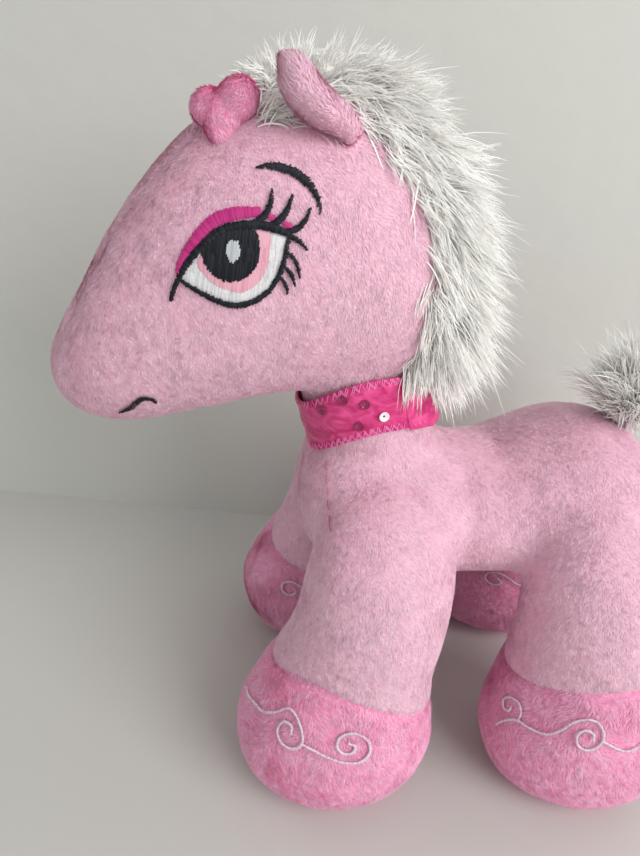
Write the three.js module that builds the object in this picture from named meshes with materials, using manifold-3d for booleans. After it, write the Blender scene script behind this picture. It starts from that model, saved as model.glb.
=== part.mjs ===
// Plush unicorn foal, standing: sewn velour panels over fibre fill, with a faux-fur mane and tail.
// Millimetres, +Z up. The toy faces -Y and its left side is +X. It stands on the plane Z = 0.
// The origin is on the ground, under the middle of the whole toy.
import * as THREE from 'three';
import { mergeVertices } from 'three/addons/utils/BufferGeometryUtils.js';
import Module from 'manifold-3d';

const wasm = await Module();
wasm.setup();

// ---------- driving dimensions ----------
const SKIN = 2.2; // velour with its backing and pressed pile
const GAP = 0.35; // between pieces that touch
const TOY_SHIFT_Y = -29.1; // moves the toy so that the origin is under its middle

// seam: height of the seam between sleeve and hoof; toeRise: radians it climbs towards the toes
const FRONT_FOOT = { x: 42.8, y: 0, seam: 51.5, toeRise: 0.28 };
const REAR_FOOT = { x: 45.8, y: 97.2, seam: 57.5, toeRise: 0 };
const TORSO_SIDE = 37.8; // legs stay outside this plane beside the torso
const LEG_INNER_TOP = 71; // legs pass under the torso up to this height
const SEAM_OUTWARD_RISE = 0.255; // radians: the seam also climbs towards the outside of the leg
const SOLE_THICKNESS = 5;

const NECK_BASE = new THREE.Vector3(0, 10, 133.5);
const NECK_LEAN = 0.295; // radians, forwards
const NECK_RADIUS = 23;
const NECK_BOTTOM = -20; // along the neck axis, from NECK_BASE
const NOD_CENTRE = 18; // along the neck axis
const NECK_TOP_RADIUS = 27.4; // of the round top that the head nods on
const HEAD_ROOM = 28.2; // the head stays outside this radius round the nod centre
const RIBBON_WIDTH = 19.5;
const RIBBON_SADDLE = 9.5; // the collar rides this much higher beside the neck than at its front and back
const RIBBON_THICKNESS = 0.8;
const SEQUIN_RADIUS = 1.7;
const SEQUIN_THICKNESS = 0.5;

const EAR_BASE = new THREE.Vector3(27.5, -12, 236);
const EAR_TIP = new THREE.Vector3(30, -28, 249.5);
const EAR_BASE_RADIUS = 5;
const EAR_SKIN = 1.6; // thinner velour on the ears and the heart
const EAR_GAP = 0.5;
const HEART_CENTRE = new THREE.Vector3(17.5, -44.5, 236.5);
const HEART_FACING = new THREE.Vector3(0.8, -0.45, 0.4); // it leans over the left side of the forehead
const HEART_BASE = new THREE.Vector3(14.5, -43, 231.5);
const HEART_BASE_RADIUS = 5;
const TAIL_BASE = new THREE.Vector3(0, 113, 131);
const TAIL_BASE_RADIUS = 7.5;

// ---------- stations: [y, centre z, half height, half width] ----------
const TORSO = [
  [-15, 108, 9, 10],
  [-11, 108, 19, 22],
  [-2, 108, 26, 31],
  [12, 107.5, 29.5, 35],
  [32, 104.5, 27.5, 34.5],
  [54, 102.5, 24.5, 33.5],
  [73, 107, 27.5, 35.5],
  [90, 110.4, 30, 38.4],
  [106, 109.3, 27, 33.2],
  [116, 110.2, 18, 22.2],
  [121, 111.3, 8, 9.8],
];
const HEAD = [
  [-102, 157, 6, 8],
  [-99, 157, 12.5, 16],
  [-92, 160.5, 21.5, 24],
  [-81, 169, 32, 30],
  [-69, 178, 40, 34],
  [-55, 187, 45.5, 37.5],
  [-40, 194, 47.5, 39.5],
  [-24, 198, 48, 39.5],
  [-8, 199, 46.5, 37],
  [6, 196, 42, 33],
  [16, 190, 35, 28],
  [23, 184, 27, 21],
  [27, 180, 14, 11],
];
// [z, centre y from the foot, half width, half length]
const LEG = [
  [0, 0, 14, 20],
  [SOLE_THICKNESS, 0, 22.8, 29.8],
  [9, 0, 26, 32.8],
  [17, 0, 29.2, 36],
  [29, 0, 31, 37.2],
  [42, 1, 29.4, 34.4],
  [54, 4, 27, 30.5],
  [64, 7, 26, 28],
  [78, 10, 25.5, 26.5],
  [98, 12, 24.5, 25.5],
  [112, 13, 21, 22.5],
  [121, 13, 13, 15],
  [125, 13, 4, 5],
];
const FRONT_LEAN = 1;
const REAR_LEAN = -0.45; // the hind legs lean back less than the front legs lean forwards

// ---------- materials ----------
function cloth(color, roughness = 0.95) {
  return new THREE.MeshStandardMaterial({ color, roughness, metalness: 0 });
}
const lightPink = cloth(0xe8aac2);
const hotPink = cloth(0xea6fa5);
const whitePile = cloth(0xf0e9e2);
const fibreFill = cloth(0xf4f4f4);
const ribbonPink = cloth(0xd42a78, 0.5);
const sequinPink = cloth(0xc9206b, 0.25);
const whiteThread = cloth(0xf2f2f4, 0.6);
const silverThread = cloth(0xdcd6e4, 0.5);
const blackThread = cloth(0x14141c, 0.6);

// ---------- solids ----------
function solid(geometry) {
  const bare = geometry.index ? geometry.toNonIndexed() : geometry.clone();
  bare.deleteAttribute('normal');
  bare.deleteAttribute('uv');
  const merged = mergeVertices(bare, 1e-4);
  const mesh = new wasm.Mesh({
    numProp: 3,
    vertProperties: new Float32Array(merged.attributes.position.array),
    triVerts: new Uint32Array(merged.index.array),
  });
  mesh.merge();
  return new wasm.Manifold(mesh);
}

function geometryOf(manifold) {
  const mesh = manifold.getMesh();
  const geometry = new THREE.BufferGeometry();
  geometry.setAttribute('position', new THREE.BufferAttribute(mesh.vertProperties, 3));
  geometry.setIndex(new THREE.BufferAttribute(mesh.triVerts, 1));
  geometry.computeVertexNormals();
  return geometry;
}

// Rings of { centre, e1, e2, r1, r2 }, with e1 x e2 along the path, skinned and closed at both ends.
function loft(rings, sides) {
  const points = [];
  const faces = [];
  for (const ring of rings) {
    for (let i = 0; i < sides; i += 1) {
      const angle = (2 * Math.PI * i) / sides;
      const point = ring.centre.clone();
      point.addScaledVector(ring.e1, ring.r1 * Math.cos(angle));
      point.addScaledVector(ring.e2, ring.r2 * Math.sin(angle));
      points.push(point.x, point.y, point.z);
    }
  }
  for (let k = 0; k + 1 < rings.length; k += 1) {
    for (let i = 0; i < sides; i += 1) {
      const j = (i + 1) % sides;
      const low = k * sides;
      const high = low + sides;
      faces.push(low + i, low + j, high + j, low + i, high + j, high + i);
    }
  }
  const last = (rings.length - 1) * sides;
  const first = points.length / 3;
  for (const ring of [rings[0], rings[rings.length - 1]]) {
    points.push(ring.centre.x, ring.centre.y, ring.centre.z);
  }
  for (let i = 0; i < sides; i += 1) {
    const j = (i + 1) % sides;
    faces.push(first, j, i);
    faces.push(first + 1, last + i, last + j);
  }
  const geometry = new THREE.BufferGeometry();
  geometry.setAttribute('position', new THREE.Float32BufferAttribute(points, 3));
  geometry.setIndex(faces);
  return solid(geometry);
}

const X_AXIS = new THREE.Vector3(1, 0, 0);
const Y_AXIS = new THREE.Vector3(0, 1, 0);
const Z_AXIS = new THREE.Vector3(0, 0, 1);

// A body of upright oval sections, made smaller all round by inset (or larger when it is negative).
function body(stations, inset, sides) {
  const lastIndex = stations.length - 1;
  const rings = stations.map(([y, z, height, width], i) => {
    const pull = i === 0 ? inset : i === lastIndex ? -inset : 0;
    return {
      centre: new THREE.Vector3(0, y + pull, z),
      e1: Z_AXIS,
      e2: X_AXIS,
      r1: Math.max(height - inset, 1),
      r2: Math.max(width - inset, 1),
    };
  });
  return loft(rings, sides);
}

// A leg of level oval sections on one foot. side is 1 for left and -1 for right.
function leg(foot, lean, side, inset, sides = 12) {
  const lastIndex = LEG.length - 1;
  const rings = LEG.map(([z, y, width, length], i) => {
    const pull = i === 0 ? inset : i === lastIndex ? -inset : 0;
    return {
      centre: new THREE.Vector3(side * (foot.x - 0.02 * z), foot.y + lean * y, z + pull),
      e1: X_AXIS,
      e2: Y_AXIS,
      r1: Math.max(width - inset, 1),
      r2: Math.max(length - inset, 1),
    };
  });
  return loft(rings, sides);
}

function box(low, high) {
  const size = high.map((value, i) => value - low[i]);
  const geometry = new THREE.BoxGeometry(...size);
  geometry.translate(...low.map((value, i) => value + size[i] / 2));
  return solid(geometry);
}

function ball(centre, radius, detail = 16) {
  const geometry = new THREE.SphereGeometry(radius, detail, detail / 2);
  geometry.translate(centre.x, centre.y, centre.z);
  return solid(geometry);
}

// A solid of revolution on the neck's axis. The profile lists [radius, distance along the axis].
function onNeck(profile, sides = 18) {
  const points = profile.map(([radius, along]) => new THREE.Vector2(radius, along));
  const geometry = new THREE.LatheGeometry(points, sides);
  geometry.rotateX(Math.PI / 2 + NECK_LEAN);
  geometry.translate(NECK_BASE.x, NECK_BASE.y, NECK_BASE.z);
  return solid(geometry);
}

function alongNeck(distance) {
  const axis = new THREE.Vector3(0, -Math.sin(NECK_LEAN), Math.cos(NECK_LEAN));
  return NECK_BASE.clone().addScaledVector(axis, distance);
}

// A slab of every point on the toy's side whose (y, z) lies in an outline. side is 1 or -1.
function throughSide(outline, side, nearX = 8, farX = 90) {
  const shape = new THREE.Shape(outline.map(([y, z]) => new THREE.Vector2(y, z)));
  const geometry = new THREE.ExtrudeGeometry(shape, { depth: farX - nearX, bevelEnabled: false });
  const matrix = new THREE.Matrix4().makeBasis(Y_AXIS, Z_AXIS, X_AXIS);
  geometry.applyMatrix4(matrix);
  geometry.translate(nearX, 0, 0);
  if (side < 0) {
    return solid(geometry).mirror([1, 0, 0]);
  }
  return solid(geometry);
}

// The outline of a stroke that follows a smooth curve and narrows to its ends.
function stroke(points, halfWidth, steps, taper = 0.35) {
  const curve = new THREE.SplineCurve(points.map(([y, z]) => new THREE.Vector2(y, z)));
  const left = [];
  const right = [];
  for (let i = 0; i <= steps; i += 1) {
    const t = i / steps;
    const point = curve.getPoint(t);
    const along = curve.getTangent(t);
    const half = halfWidth * (taper + (1 - taper) * Math.sin(Math.PI * t));
    left.push([point.x - along.y * half, point.y + along.x * half]);
    right.unshift([point.x + along.y * half, point.y - along.x * half]);
  }
  return [...left, ...right];
}

const toy = new THREE.Group();

function add(name, manifold, material) {
  const mesh = new THREE.Mesh(geometryOf(manifold), material);
  mesh.name = name;
  toy.add(mesh);
}

// ---------- neck: turns on the torso, and the head nods on its round top ----------
function neckProfile(inset) {
  const radius = NECK_RADIUS - inset;
  const topRadius = NECK_TOP_RADIUS - inset;
  const profile = [[0, NECK_BOTTOM + inset], [radius - 4, NECK_BOTTOM + inset], [radius, NECK_BOTTOM + 4]];
  const shoulder = Math.acos(radius / topRadius);
  for (let i = 0; i <= 4; i += 1) {
    const angle = shoulder + (i / 4) * (Math.PI / 2 - shoulder);
    profile.push([Math.cos(angle) * topRadius, NOD_CENTRE + Math.sin(angle) * topRadius]);
  }
  profile[profile.length - 1][0] = 0;
  return profile;
}

// How much higher the collar rides at a turn about the neck, where 0 is its front.
function saddleRise(turn) {
  return RIBBON_SADDLE * Math.sin(turn) ** 2;
}

// Bends a ring on the neck's axis into the saddle that the collar takes between the shoulders and the head.
function saddled(ring) {
  const axis = alongNeck(1).sub(NECK_BASE);
  const front = new THREE.Vector3().crossVectors(axis, X_AXIS);
  return ring.warp((vertex) => {
    const point = new THREE.Vector3(...vertex);
    const offset = point.clone().sub(NECK_BASE);
    const rise = saddleRise(Math.atan2(offset.x, offset.dot(front)));
    point.addScaledVector(axis, rise);
    vertex[0] = point.x;
    vertex[1] = point.y;
    vertex[2] = point.z;
  });
}

// A closed band round the neck between two radii and two heights.
function neckBand(inner, outer, low, high) {
  const profile = [[inner, low], [outer, low], [outer, high], [inner, high], [inner, low]];
  return saddled(onNeck(profile, 24));
}

function makeNeck() {
  const top = NOD_CENTRE + NECK_TOP_RADIUS;
  const whole = onNeck(neckProfile(0));
  const hollow = onNeck(neckProfile(SKIN));
  const openTop = onNeck([[0, top - 8], [9, top - 8], [9, top + 5], [0, top + 5]]);
  add('neck_sleeve', whole.subtract(hollow).subtract(openTop), lightPink);
  add('neck_stuffing', onNeck(neckProfile(SKIN + GAP)), fibreFill);

  const inner = NECK_RADIUS + GAP;
  const outer = inner + RIBBON_THICKNESS;
  add('collar_ribbon', neckBand(inner, outer, 0, RIBBON_WIDTH), ribbonPink);
  const wrap = outer + GAP;
  const wrapBand = neckBand(wrap, wrap + RIBBON_THICKNESS, -0.5, RIBBON_WIDTH);
  const endRegion = box([6, 22, 100], [40, 60, 190]);
  add('collar_overlap_end', wrapBand.intersect(endRegion), ribbonPink);

  // Sequins: [degrees about the neck from the front, height on the ribbon]
  const sequins = [[50, 15], [70, 16], [86, 12.5], [78, 5], [98, 6.5], [-64, 12]];
  sequins.forEach(([degrees, height], i) => {
    const turn = (degrees * Math.PI) / 180;
    const geometry = new THREE.CylinderGeometry(SEQUIN_RADIUS, SEQUIN_RADIUS, SEQUIN_THICKNESS, 8);
    geometry.rotateX(Math.PI / 2);
    geometry.translate(0, 0, outer + GAP + SEQUIN_THICKNESS / 2);
    geometry.rotateY(turn);
    geometry.translate(0, height + saddleRise(turn), 0);
    geometry.rotateX(Math.PI / 2 + NECK_LEAN);
    geometry.translate(NECK_BASE.x, NECK_BASE.y, NECK_BASE.z);
    add(`sequin_${i + 1}`, solid(geometry), sequinPink);
  });
}

// ---------- torso ----------
const BELLY_HALF = 13;

function makeTorso() {
  const neckHole = NECK_RADIUS + GAP * 2;
  const neckFloor = NECK_BOTTOM - GAP * 2;
  const neckRoom = onNeck([[0, neckFloor], [neckHole, neckFloor], [neckHole, 60], [0, 60]]);
  const tailRoom = ball(TAIL_BASE, TAIL_BASE_RADIUS + 0.8);
  const sides = 14;
  const skin = body(TORSO, 0, sides).subtract(body(TORSO, SKIN, sides)).subtract(neckRoom).subtract(tailRoom);
  const filling = body(TORSO, SKIN + GAP, sides).subtract(neckRoom).subtract(tailRoom);
  const bellyStrip = (half) => box([-half, -40, 40], [half, 140, 98]);
  add('belly_gusset', skin.intersect(bellyStrip(BELLY_HALF)), lightPink);
  const sidesOnly = skin.subtract(bellyStrip(BELLY_HALF + GAP));
  add('torso_side_left', sidesOnly.intersect(box([GAP / 2, -60, 0], [80, 160, 200])), lightPink);
  add('torso_side_right', sidesOnly.intersect(box([-80, -60, 0], [-GAP / 2, 160, 200])), lightPink);
  add('torso_stuffing', filling, fibreFill);
}

// ---------- legs ----------
// Everything below the tilted seam between a leg's sleeve and its hoof.
function belowSeam(foot, side, offset) {
  const geometry = new THREE.BoxGeometry(200, 200, 200);
  geometry.translate(0, 0, -100);
  geometry.rotateX(-foot.toeRise);
  geometry.rotateY(-side * SEAM_OUTWARD_RISE);
  geometry.translate(side * foot.x, foot.y, foot.seam + offset);
  return solid(geometry);
}

function makeLeg(name, foot, lean, side) {
  const underTorso = box([-TORSO_SIDE, -80, LEG_INNER_TOP], [TORSO_SIDE, 200, 200]);
  const sleeveRoom = box([-TORSO_SIDE - SKIN, -80, LEG_INNER_TOP - SKIN], [TORSO_SIDE + SKIN, 200, 200]);
  const fillRoom = box(
    [-TORSO_SIDE - SKIN - GAP, -80, LEG_INNER_TOP - SKIN - GAP],
    [TORSO_SIDE + SKIN + GAP, 200, 200],
  );
  const outer = leg(foot, lean, side, 0).subtract(underTorso);
  const hollow = leg(foot, lean, side, SKIN).subtract(sleeveRoom);
  const skin = outer.subtract(hollow);
  const aboveSole = box([-100, -100, SOLE_THICKNESS + GAP], [100, 200, 200]);
  add(`${name}_sleeve`, skin.subtract(belowSeam(foot, side, GAP / 2)), lightPink);
  add(`${name}_hoof_cuff`, skin.intersect(belowSeam(foot, side, -GAP / 2)).intersect(aboveSole), hotPink);
  add(`${name}_sole`, outer.subtract(box([-100, -100, SOLE_THICKNESS], [100, 200, 200])), hotPink);
  const filling = leg(foot, lean, side, SKIN + GAP).subtract(fillRoom).intersect(aboveSole);
  add(`${name}_stuffing`, filling, fibreFill);

  const swirl = stroke(
    [
      [foot.y - 29, 57], [foot.y - 24, 51], [foot.y - 17, 53], [foot.y - 12, 47],
      [foot.y - 5, 40], [foot.y + 5, 38], [foot.y + 13, 42], [foot.y + 12, 48], [foot.y + 6, 47],
    ],
    0.8,
    14,
    0.7,
  );
  const threadRise = 1.0;
  const threadLayer = leg(foot, lean, side, -GAP - threadRise).subtract(leg(foot, lean, side, -GAP));
  const thread = threadLayer.intersect(throughSide(swirl, side, foot.x));
  add(`${name}_swirl_stitching`, thread, silverThread);
}

// ---------- head ----------
const GUSSET_HALF = 12;
const HEAD_SIDES = 16;
const EAR_ROOM = 2; // left free round an ear or the heart, so that it can flop
const HEART_ROOM = 2.4;

// [share of the length, half thickness, half width]
const EAR_RINGS = [
  [-0.16, 3.4, 4.2],
  [0.1, 4.5, 6],
  [0.45, 5.2, 7.6],
  [0.78, 5, 7],
  [0.95, 3.6, 4.8],
  [1.08, 1.4, 1.8],
];

function earParts(side, inset) {
  const base = EAR_BASE.clone();
  const tip = EAR_TIP.clone();
  const along = tip.clone().sub(base).normalize();
  const thick = new THREE.Vector3().crossVectors(X_AXIS, along).normalize();
  const wide = new THREE.Vector3().crossVectors(along, thick);
  const length = tip.distanceTo(base);
  const lastIndex = EAR_RINGS.length - 1;
  const rings = EAR_RINGS.map(([t, half, wideHalf], i) => {
    const pull = i === 0 ? inset : i === lastIndex ? -inset : 0;
    return {
      centre: base.clone().addScaledVector(along, length * t + pull),
      e1: thick,
      e2: wide,
      r1: Math.max(half - inset, 0.6),
      r2: Math.max(wideHalf - inset, 0.6),
    };
  });
  const leaf = loft(rings, 10);
  const whole = leaf.add(ball(base, EAR_BASE_RADIUS - inset, 8));
  return side > 0 ? whole : whole.mirror([1, 0, 0]);
}

function mirrored(point, side) {
  return new THREE.Vector3(point.x * side, point.y, point.z);
}

// A puffed heart of overlapping cushions: [across, up, radius across, radius up, radius through].
const HEART_CUSHIONS = [
  [-4.6, 3.2, 5.6, 6, 5],
  [4.6, 3.2, 5.6, 6, 5],
  [0, -2.2, 6, 6.5, 5],
  [0, -6, 3.6, 4, 3.8],
];

function heartParts(inset) {
  const facing = HEART_FACING.clone().normalize();
  const up = Z_AXIS.clone().addScaledVector(facing, -facing.z).normalize();
  const across = new THREE.Vector3().crossVectors(up, facing);
  const frame = new THREE.Matrix4().makeBasis(across, up, facing);
  let heart = ball(HEART_BASE, HEART_BASE_RADIUS - inset, 8);
  for (const [right, high, acrossRadius, upRadius, through] of HEART_CUSHIONS) {
    const geometry = new THREE.SphereGeometry(1, 10, 8);
    geometry.scale(acrossRadius - inset, upRadius - inset, through - inset);
    geometry.translate(right, high, 0);
    geometry.applyMatrix4(frame);
    geometry.translate(HEART_CENTRE.x, HEART_CENTRE.y, HEART_CENTRE.z);
    heart = heart.add(solid(geometry));
  }
  return heart;
}

const MANE_PATH = [
  // [y, z, outward y, outward z, rise, half width]
  [-38, 243, -0.45, 0.9, 6, 7],
  [-28, 246, -0.2, 0.98, 11, 11],
  [-10, 246, 0.1, 1, 15, 14],
  [6, 239, 0.6, 0.8, 19, 15],
  [17, 226, 0.85, 0.5, 24, 16],
  [24, 208, 0.97, 0.24, 28, 16],
  [27, 190, 1, 0, 29, 16],
  [26, 172, 0.97, -0.2, 27, 15],
  [25, 158, 0.9, -0.3, 16, 12],
];

function makeMane(headRoom) {
  const rings = MANE_PATH.map(([y, z, outY, outZ, rise, half]) => {
    const out = new THREE.Vector3(0, outY, outZ).normalize();
    const centre = new THREE.Vector3(0, y, z).addScaledVector(out, rise / 2 - 3);
    return { centre, e1: out, e2: X_AXIS, r1: rise / 2 + 3, r2: half };
  });
  const pile = loft(rings, 12);
  add('mane_fur', pile.subtract(headRoom), whitePile);
}

function makeFace(side) {
  const name = side > 0 ? 'left' : 'right';
  const layer = (low, high) => body(HEAD, -high, HEAD_SIDES).subtract(body(HEAD, -low, HEAD_SIDES));
  const eyeline = [[-57, 190], [-52, 200], [-45, 207], [-36, 209.5], [-27, 208.5], [-27.5, 199], [-33, 192],
    [-41, 188.5], [-50, 188]];
  const closed = eyeline.concat([eyeline[0]]).map(([y, z]) => new THREE.Vector2(y, z));
  const almond = new THREE.SplineCurve(closed).getPoints(20).slice(0, -1).map((p) => [p.x, p.y]);
  const [midY, midZ] = [-40, 198.5];
  const scaled = (k) => almond.map(([y, z]) => [midY + (y - midY) * k, midZ + (z - midZ) * k]);
  const patchLow = GAP;
  const patchHigh = GAP + 0.9;
  const threads = layer(patchLow, patchHigh);
  const whole = throughSide(scaled(1), side, 15);
  const inside = throughSide(scaled(0.86), side, 15);
  const core = throughSide(scaled(0.8), side, 15);
  add(`eye_outline_${name}`, threads.intersect(whole.subtract(inside)), blackThread);
  add(`eye_patch_${name}`, threads.intersect(core), whiteThread);
  const brow = stroke([[-34, 225], [-28, 225], [-21.5, 221], [-17.5, 213.5]], 1.3, 12);
  add(`brow_stitching_${name}`, threads.intersect(throughSide(brow, side, 15)), blackThread);
  const mouth = stroke([[-79, 148.5], [-74, 150], [-70, 154], [-66, 153.5]], 1.1, 12);
  add(`mouth_stitching_${name}`, threads.intersect(throughSide(mouth, side, 4)), blackThread);
}

function makeHead() {
  const nodRoom = ball(alongNeck(NOD_CENTRE), HEAD_ROOM, 24);
  const heartRoom = heartParts(-HEART_ROOM);
  let skin = body(HEAD, 0, HEAD_SIDES).subtract(body(HEAD, SKIN, HEAD_SIDES));
  let filling = body(HEAD, SKIN + GAP, HEAD_SIDES);
  const rooms = [nodRoom, heartRoom, earParts(1, -EAR_ROOM), earParts(-1, -EAR_ROOM)];
  for (const room of rooms) {
    skin = skin.subtract(room);
    filling = filling.subtract(room);
  }
  const topStrip = (half) => box([-half, -120, 188], [half, 40, 300]);
  add('forehead_gusset', skin.intersect(topStrip(GUSSET_HALF)), lightPink);
  const sidesOnly = skin.subtract(topStrip(GUSSET_HALF + GAP));
  add('head_side_left', sidesOnly.intersect(box([GAP / 2, -120, 100], [80, 60, 300])), lightPink);
  add('head_side_right', sidesOnly.intersect(box([-80, -120, 100], [-GAP / 2, 60, 300])), lightPink);
  add('head_stuffing', filling, fibreFill);
  const maneRoom = body(HEAD, -GAP, HEAD_SIDES).add(nodRoom).add(heartRoom);
  makeMane(maneRoom);
  makeFace(1);
  makeFace(-1);

  for (const side of [1, -1]) {
    const name = side > 0 ? 'ear_left' : 'ear_right';
    const base = mirrored(EAR_BASE, side);
    const mouth = ball(base.clone().add(new THREE.Vector3(0, 3, -3.5)), 2.6, 10);
    add(`${name}_velour`, earParts(side, 0).subtract(earParts(side, EAR_SKIN)).subtract(mouth), lightPink);
    add(`${name}_stuffing`, earParts(side, EAR_SKIN + EAR_GAP), fibreFill);
  }
  const heartMouth = ball(HEART_BASE.clone().add(new THREE.Vector3(-2, 0, -4)), 2.5, 10);
  add('heart_velour', heartParts(0).subtract(heartParts(EAR_SKIN)).subtract(heartMouth), hotPink);
  add('heart_stuffing', heartParts(EAR_SKIN + EAR_GAP), fibreFill);
}

// ---------- tail ----------
function makeTail() {
  const path = [
    // [y, z, outward y, outward z, half depth, half width]
    [114, 134, 0.5, 0.86, 6, 7],
    [119, 146, 0.55, 0.83, 12, 11],
    [130, 153, 0.95, 0.3, 15, 13],
    [140, 146, 0.8, -0.6, 16, 15],
    [146, 130, 0.3, -0.95, 15, 15],
    [148, 112, 0, -1, 12, 13],
    [147, 95, 0, -1, 6, 8],
  ];
  const rings = path.map(([y, z, alongY, alongZ, depth, half]) => {
    const along = new THREE.Vector3(0, alongY, alongZ).normalize();
    const e1 = new THREE.Vector3().crossVectors(X_AXIS, along).normalize();
    return { centre: new THREE.Vector3(0, y, z), e1, e2: X_AXIS, r1: depth, r2: half };
  });
  const pile = loft(rings, 10);
  add('tail_fur', pile.add(ball(TAIL_BASE, TAIL_BASE_RADIUS, 12)), whitePile);
}

makeTorso();
makeNeck();
makeHead();
for (const side of [1, -1]) {
  const name = side > 0 ? 'left' : 'right';
  makeLeg(`front_${name}_leg`, FRONT_FOOT, FRONT_LEAN, side);
  makeLeg(`rear_${name}_leg`, REAR_FOOT, REAR_LEAN, side);
}
makeTail();

toy.position.y = TOY_SHIFT_Y;
export default toy;
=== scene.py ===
"""Plush unicorn foal: sewn velour skins, faux-fur mane and tail, embroidery and a sequinned ribbon collar.

Sizes in the tables are millimetres in the toy's own frame: x to its left, y backwards from the middle of
the front soles, z up from the ground. Meshes are built there and moved into the row frame, in metres.
"""

import math

import bmesh
import bpy
import numpy as np
from mathutils import Matrix, Vector
from mathutils.bvhtree import BVHTree


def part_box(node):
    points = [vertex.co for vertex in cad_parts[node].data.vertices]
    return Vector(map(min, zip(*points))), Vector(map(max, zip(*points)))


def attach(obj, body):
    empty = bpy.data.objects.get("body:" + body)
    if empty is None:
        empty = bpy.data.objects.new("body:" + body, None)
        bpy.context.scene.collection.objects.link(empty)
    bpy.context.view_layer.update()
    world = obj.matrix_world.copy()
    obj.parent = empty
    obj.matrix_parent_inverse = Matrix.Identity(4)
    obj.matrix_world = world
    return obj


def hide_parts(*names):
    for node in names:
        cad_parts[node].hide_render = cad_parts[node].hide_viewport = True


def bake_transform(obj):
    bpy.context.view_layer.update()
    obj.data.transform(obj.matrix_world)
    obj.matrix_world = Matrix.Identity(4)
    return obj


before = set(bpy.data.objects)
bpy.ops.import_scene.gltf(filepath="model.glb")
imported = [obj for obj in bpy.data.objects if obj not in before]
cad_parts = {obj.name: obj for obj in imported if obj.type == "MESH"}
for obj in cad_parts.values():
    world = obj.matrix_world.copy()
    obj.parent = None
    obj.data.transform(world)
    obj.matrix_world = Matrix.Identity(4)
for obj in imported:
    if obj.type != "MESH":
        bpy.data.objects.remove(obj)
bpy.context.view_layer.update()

MM = 0.001


# -------- places taken from the frame

def box_middle(node):
    low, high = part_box(node)
    return (low + high) / 2


FRONT_FOOT = box_middle("front_left_leg_sole")
REAR_FOOT = box_middle("rear_left_leg_sole")
ORIGIN = np.array([0.0, FRONT_FOOT.y, 0.0])
FOOT = {"front": (FRONT_FOOT.x / MM, 0.0), "rear": (REAR_FOOT.x / MM, (REAR_FOOT.y - FRONT_FOOT.y) / MM)}
LEAN = {"front": 1.0, "rear": -0.45}
SIDES = {"left": 1, "right": -1}
EAR_BASE = np.array([27.5, -12.0, 236.0])
EAR_TIP = np.array([30.0, -28.0, 249.5])
HEART_CENTRE = np.array([17.5, -44.5, 236.5])
HEART_FACING = np.array([0.8, -0.45, 0.4])
NECK_BASE = np.array([0.0, 10.0, 133.5])
NECK_LEAN = 0.295
NECK_AXIS = np.array([0.0, -math.sin(NECK_LEAN), math.cos(NECK_LEAN)])
NECK_FRONT = np.array([0.0, -math.cos(NECK_LEAN), -math.sin(NECK_LEAN)])
NECK_RADIUS = 23.0
LEFT = np.array([1.0, 0, 0])
NECK_CUT = 15.0  # the torso's skin ends here along the neck, under the ribbon
HEAD_CUT = 7.0  # and the head's skin starts here
RIBBON_WIDTH = 19.5
RIBBON_THICKNESS = 0.35
RIBBON_SADDLE = 9.5  # how much the ribbon climbs at the sides of the neck
SOLE_SEAM_Z = 6.5
# height of the seam round the hoof: at front and back, how much it climbs to the toes, and at the sides
HOOF_SEAM = {"front": (47.9, 8.7), "rear": (53.9, 0.0)}

# [y, centre z, half height, half width]
TORSO = [
    [-16.5, 108, 3, 4], [-15.5, 108, 12, 14], [-12, 108, 20, 24], [-4, 108, 26, 31],
    [10, 107.5, 29.5, 35], [32, 104, 27.5, 35.5], [54, 103, 24.8, 35.5], [73, 107, 28, 39.2],
    [90, 110, 30.5, 41], [106, 111, 27.5, 37], [115, 111.5, 20, 27.5], [120.5, 112, 11, 16],
    [122.5, 112, 3, 4],
]
HEAD = [
    [-103, 157, 2.5, 3], [-101.5, 157, 8, 10], [-98, 157.5, 14, 17], [-91, 161, 22.5, 24],
    [-81, 169, 32, 30], [-69, 178, 40, 34], [-55, 187, 45.5, 37.5], [-40, 194, 47.5, 39.5],
    [-24, 198, 48, 39.5], [-8, 199, 46.5, 37.5], [6, 196, 42, 33.5], [16, 190, 35, 28.5],
    [23, 184, 26, 21], [27, 180, 14, 11], [28.5, 178, 4, 3],
]
FOREHEAD_SEAM = 14  # from the middle, on both sides
# [z, centre y from the foot, half width, half length, how far the centre moves inwards]
LEG = [
    [0, 0, 12, 18, 0], [1.5, 0, 17, 24, 0], [4.5, 0, 22, 29, 0], [9, 0, 26, 32.8, 0], [16, 0, 29, 36, 0],
    [24, 0, 30.8, 37.4, 0], [33, 0, 30.8, 37, 0], [42, 1, 29.4, 34.6, 0], [54, 4, 27.4, 31, 1],
    [64, 7, 26.2, 28.4, 1.2], [78, 10, 25.8, 27, 1.5], [96, 12, 24.5, 26, 3], [110, 13, 21, 23, 7],
    [120, 13, 14, 16, 11], [126, 13, 4, 5, 13],
]


# -------- mesh helpers

def to_row(points):
    """Toy-frame millimetres to row-frame metres."""
    return np.asarray(points, float) * MM + ORIGIN


def on_middle(pairs):
    """Points or ways of the toy's middle plane, from (y, z) pairs."""
    return np.column_stack([np.zeros(len(pairs)), pairs])


def smooth_rows(rows, count):
    """A smooth curve through the rows of a table, sampled count times."""
    rows = np.asarray(rows, float)
    padded = np.vstack([2 * rows[0] - rows[1], rows, 2 * rows[-1] - rows[-2]])
    at = np.linspace(0, len(rows) - 1, count)
    k = np.minimum(at.astype(int), len(rows) - 2)
    t = (at - k)[:, None]
    a, b, c, d = padded[k], padded[k + 1], padded[k + 2], padded[k + 3]
    return 0.5 * (2 * b + (c - a) * t + (2 * a - 5 * b + 4 * c - d) * t**2 + (3 * b - a - 3 * c + d) * t**3)


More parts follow.
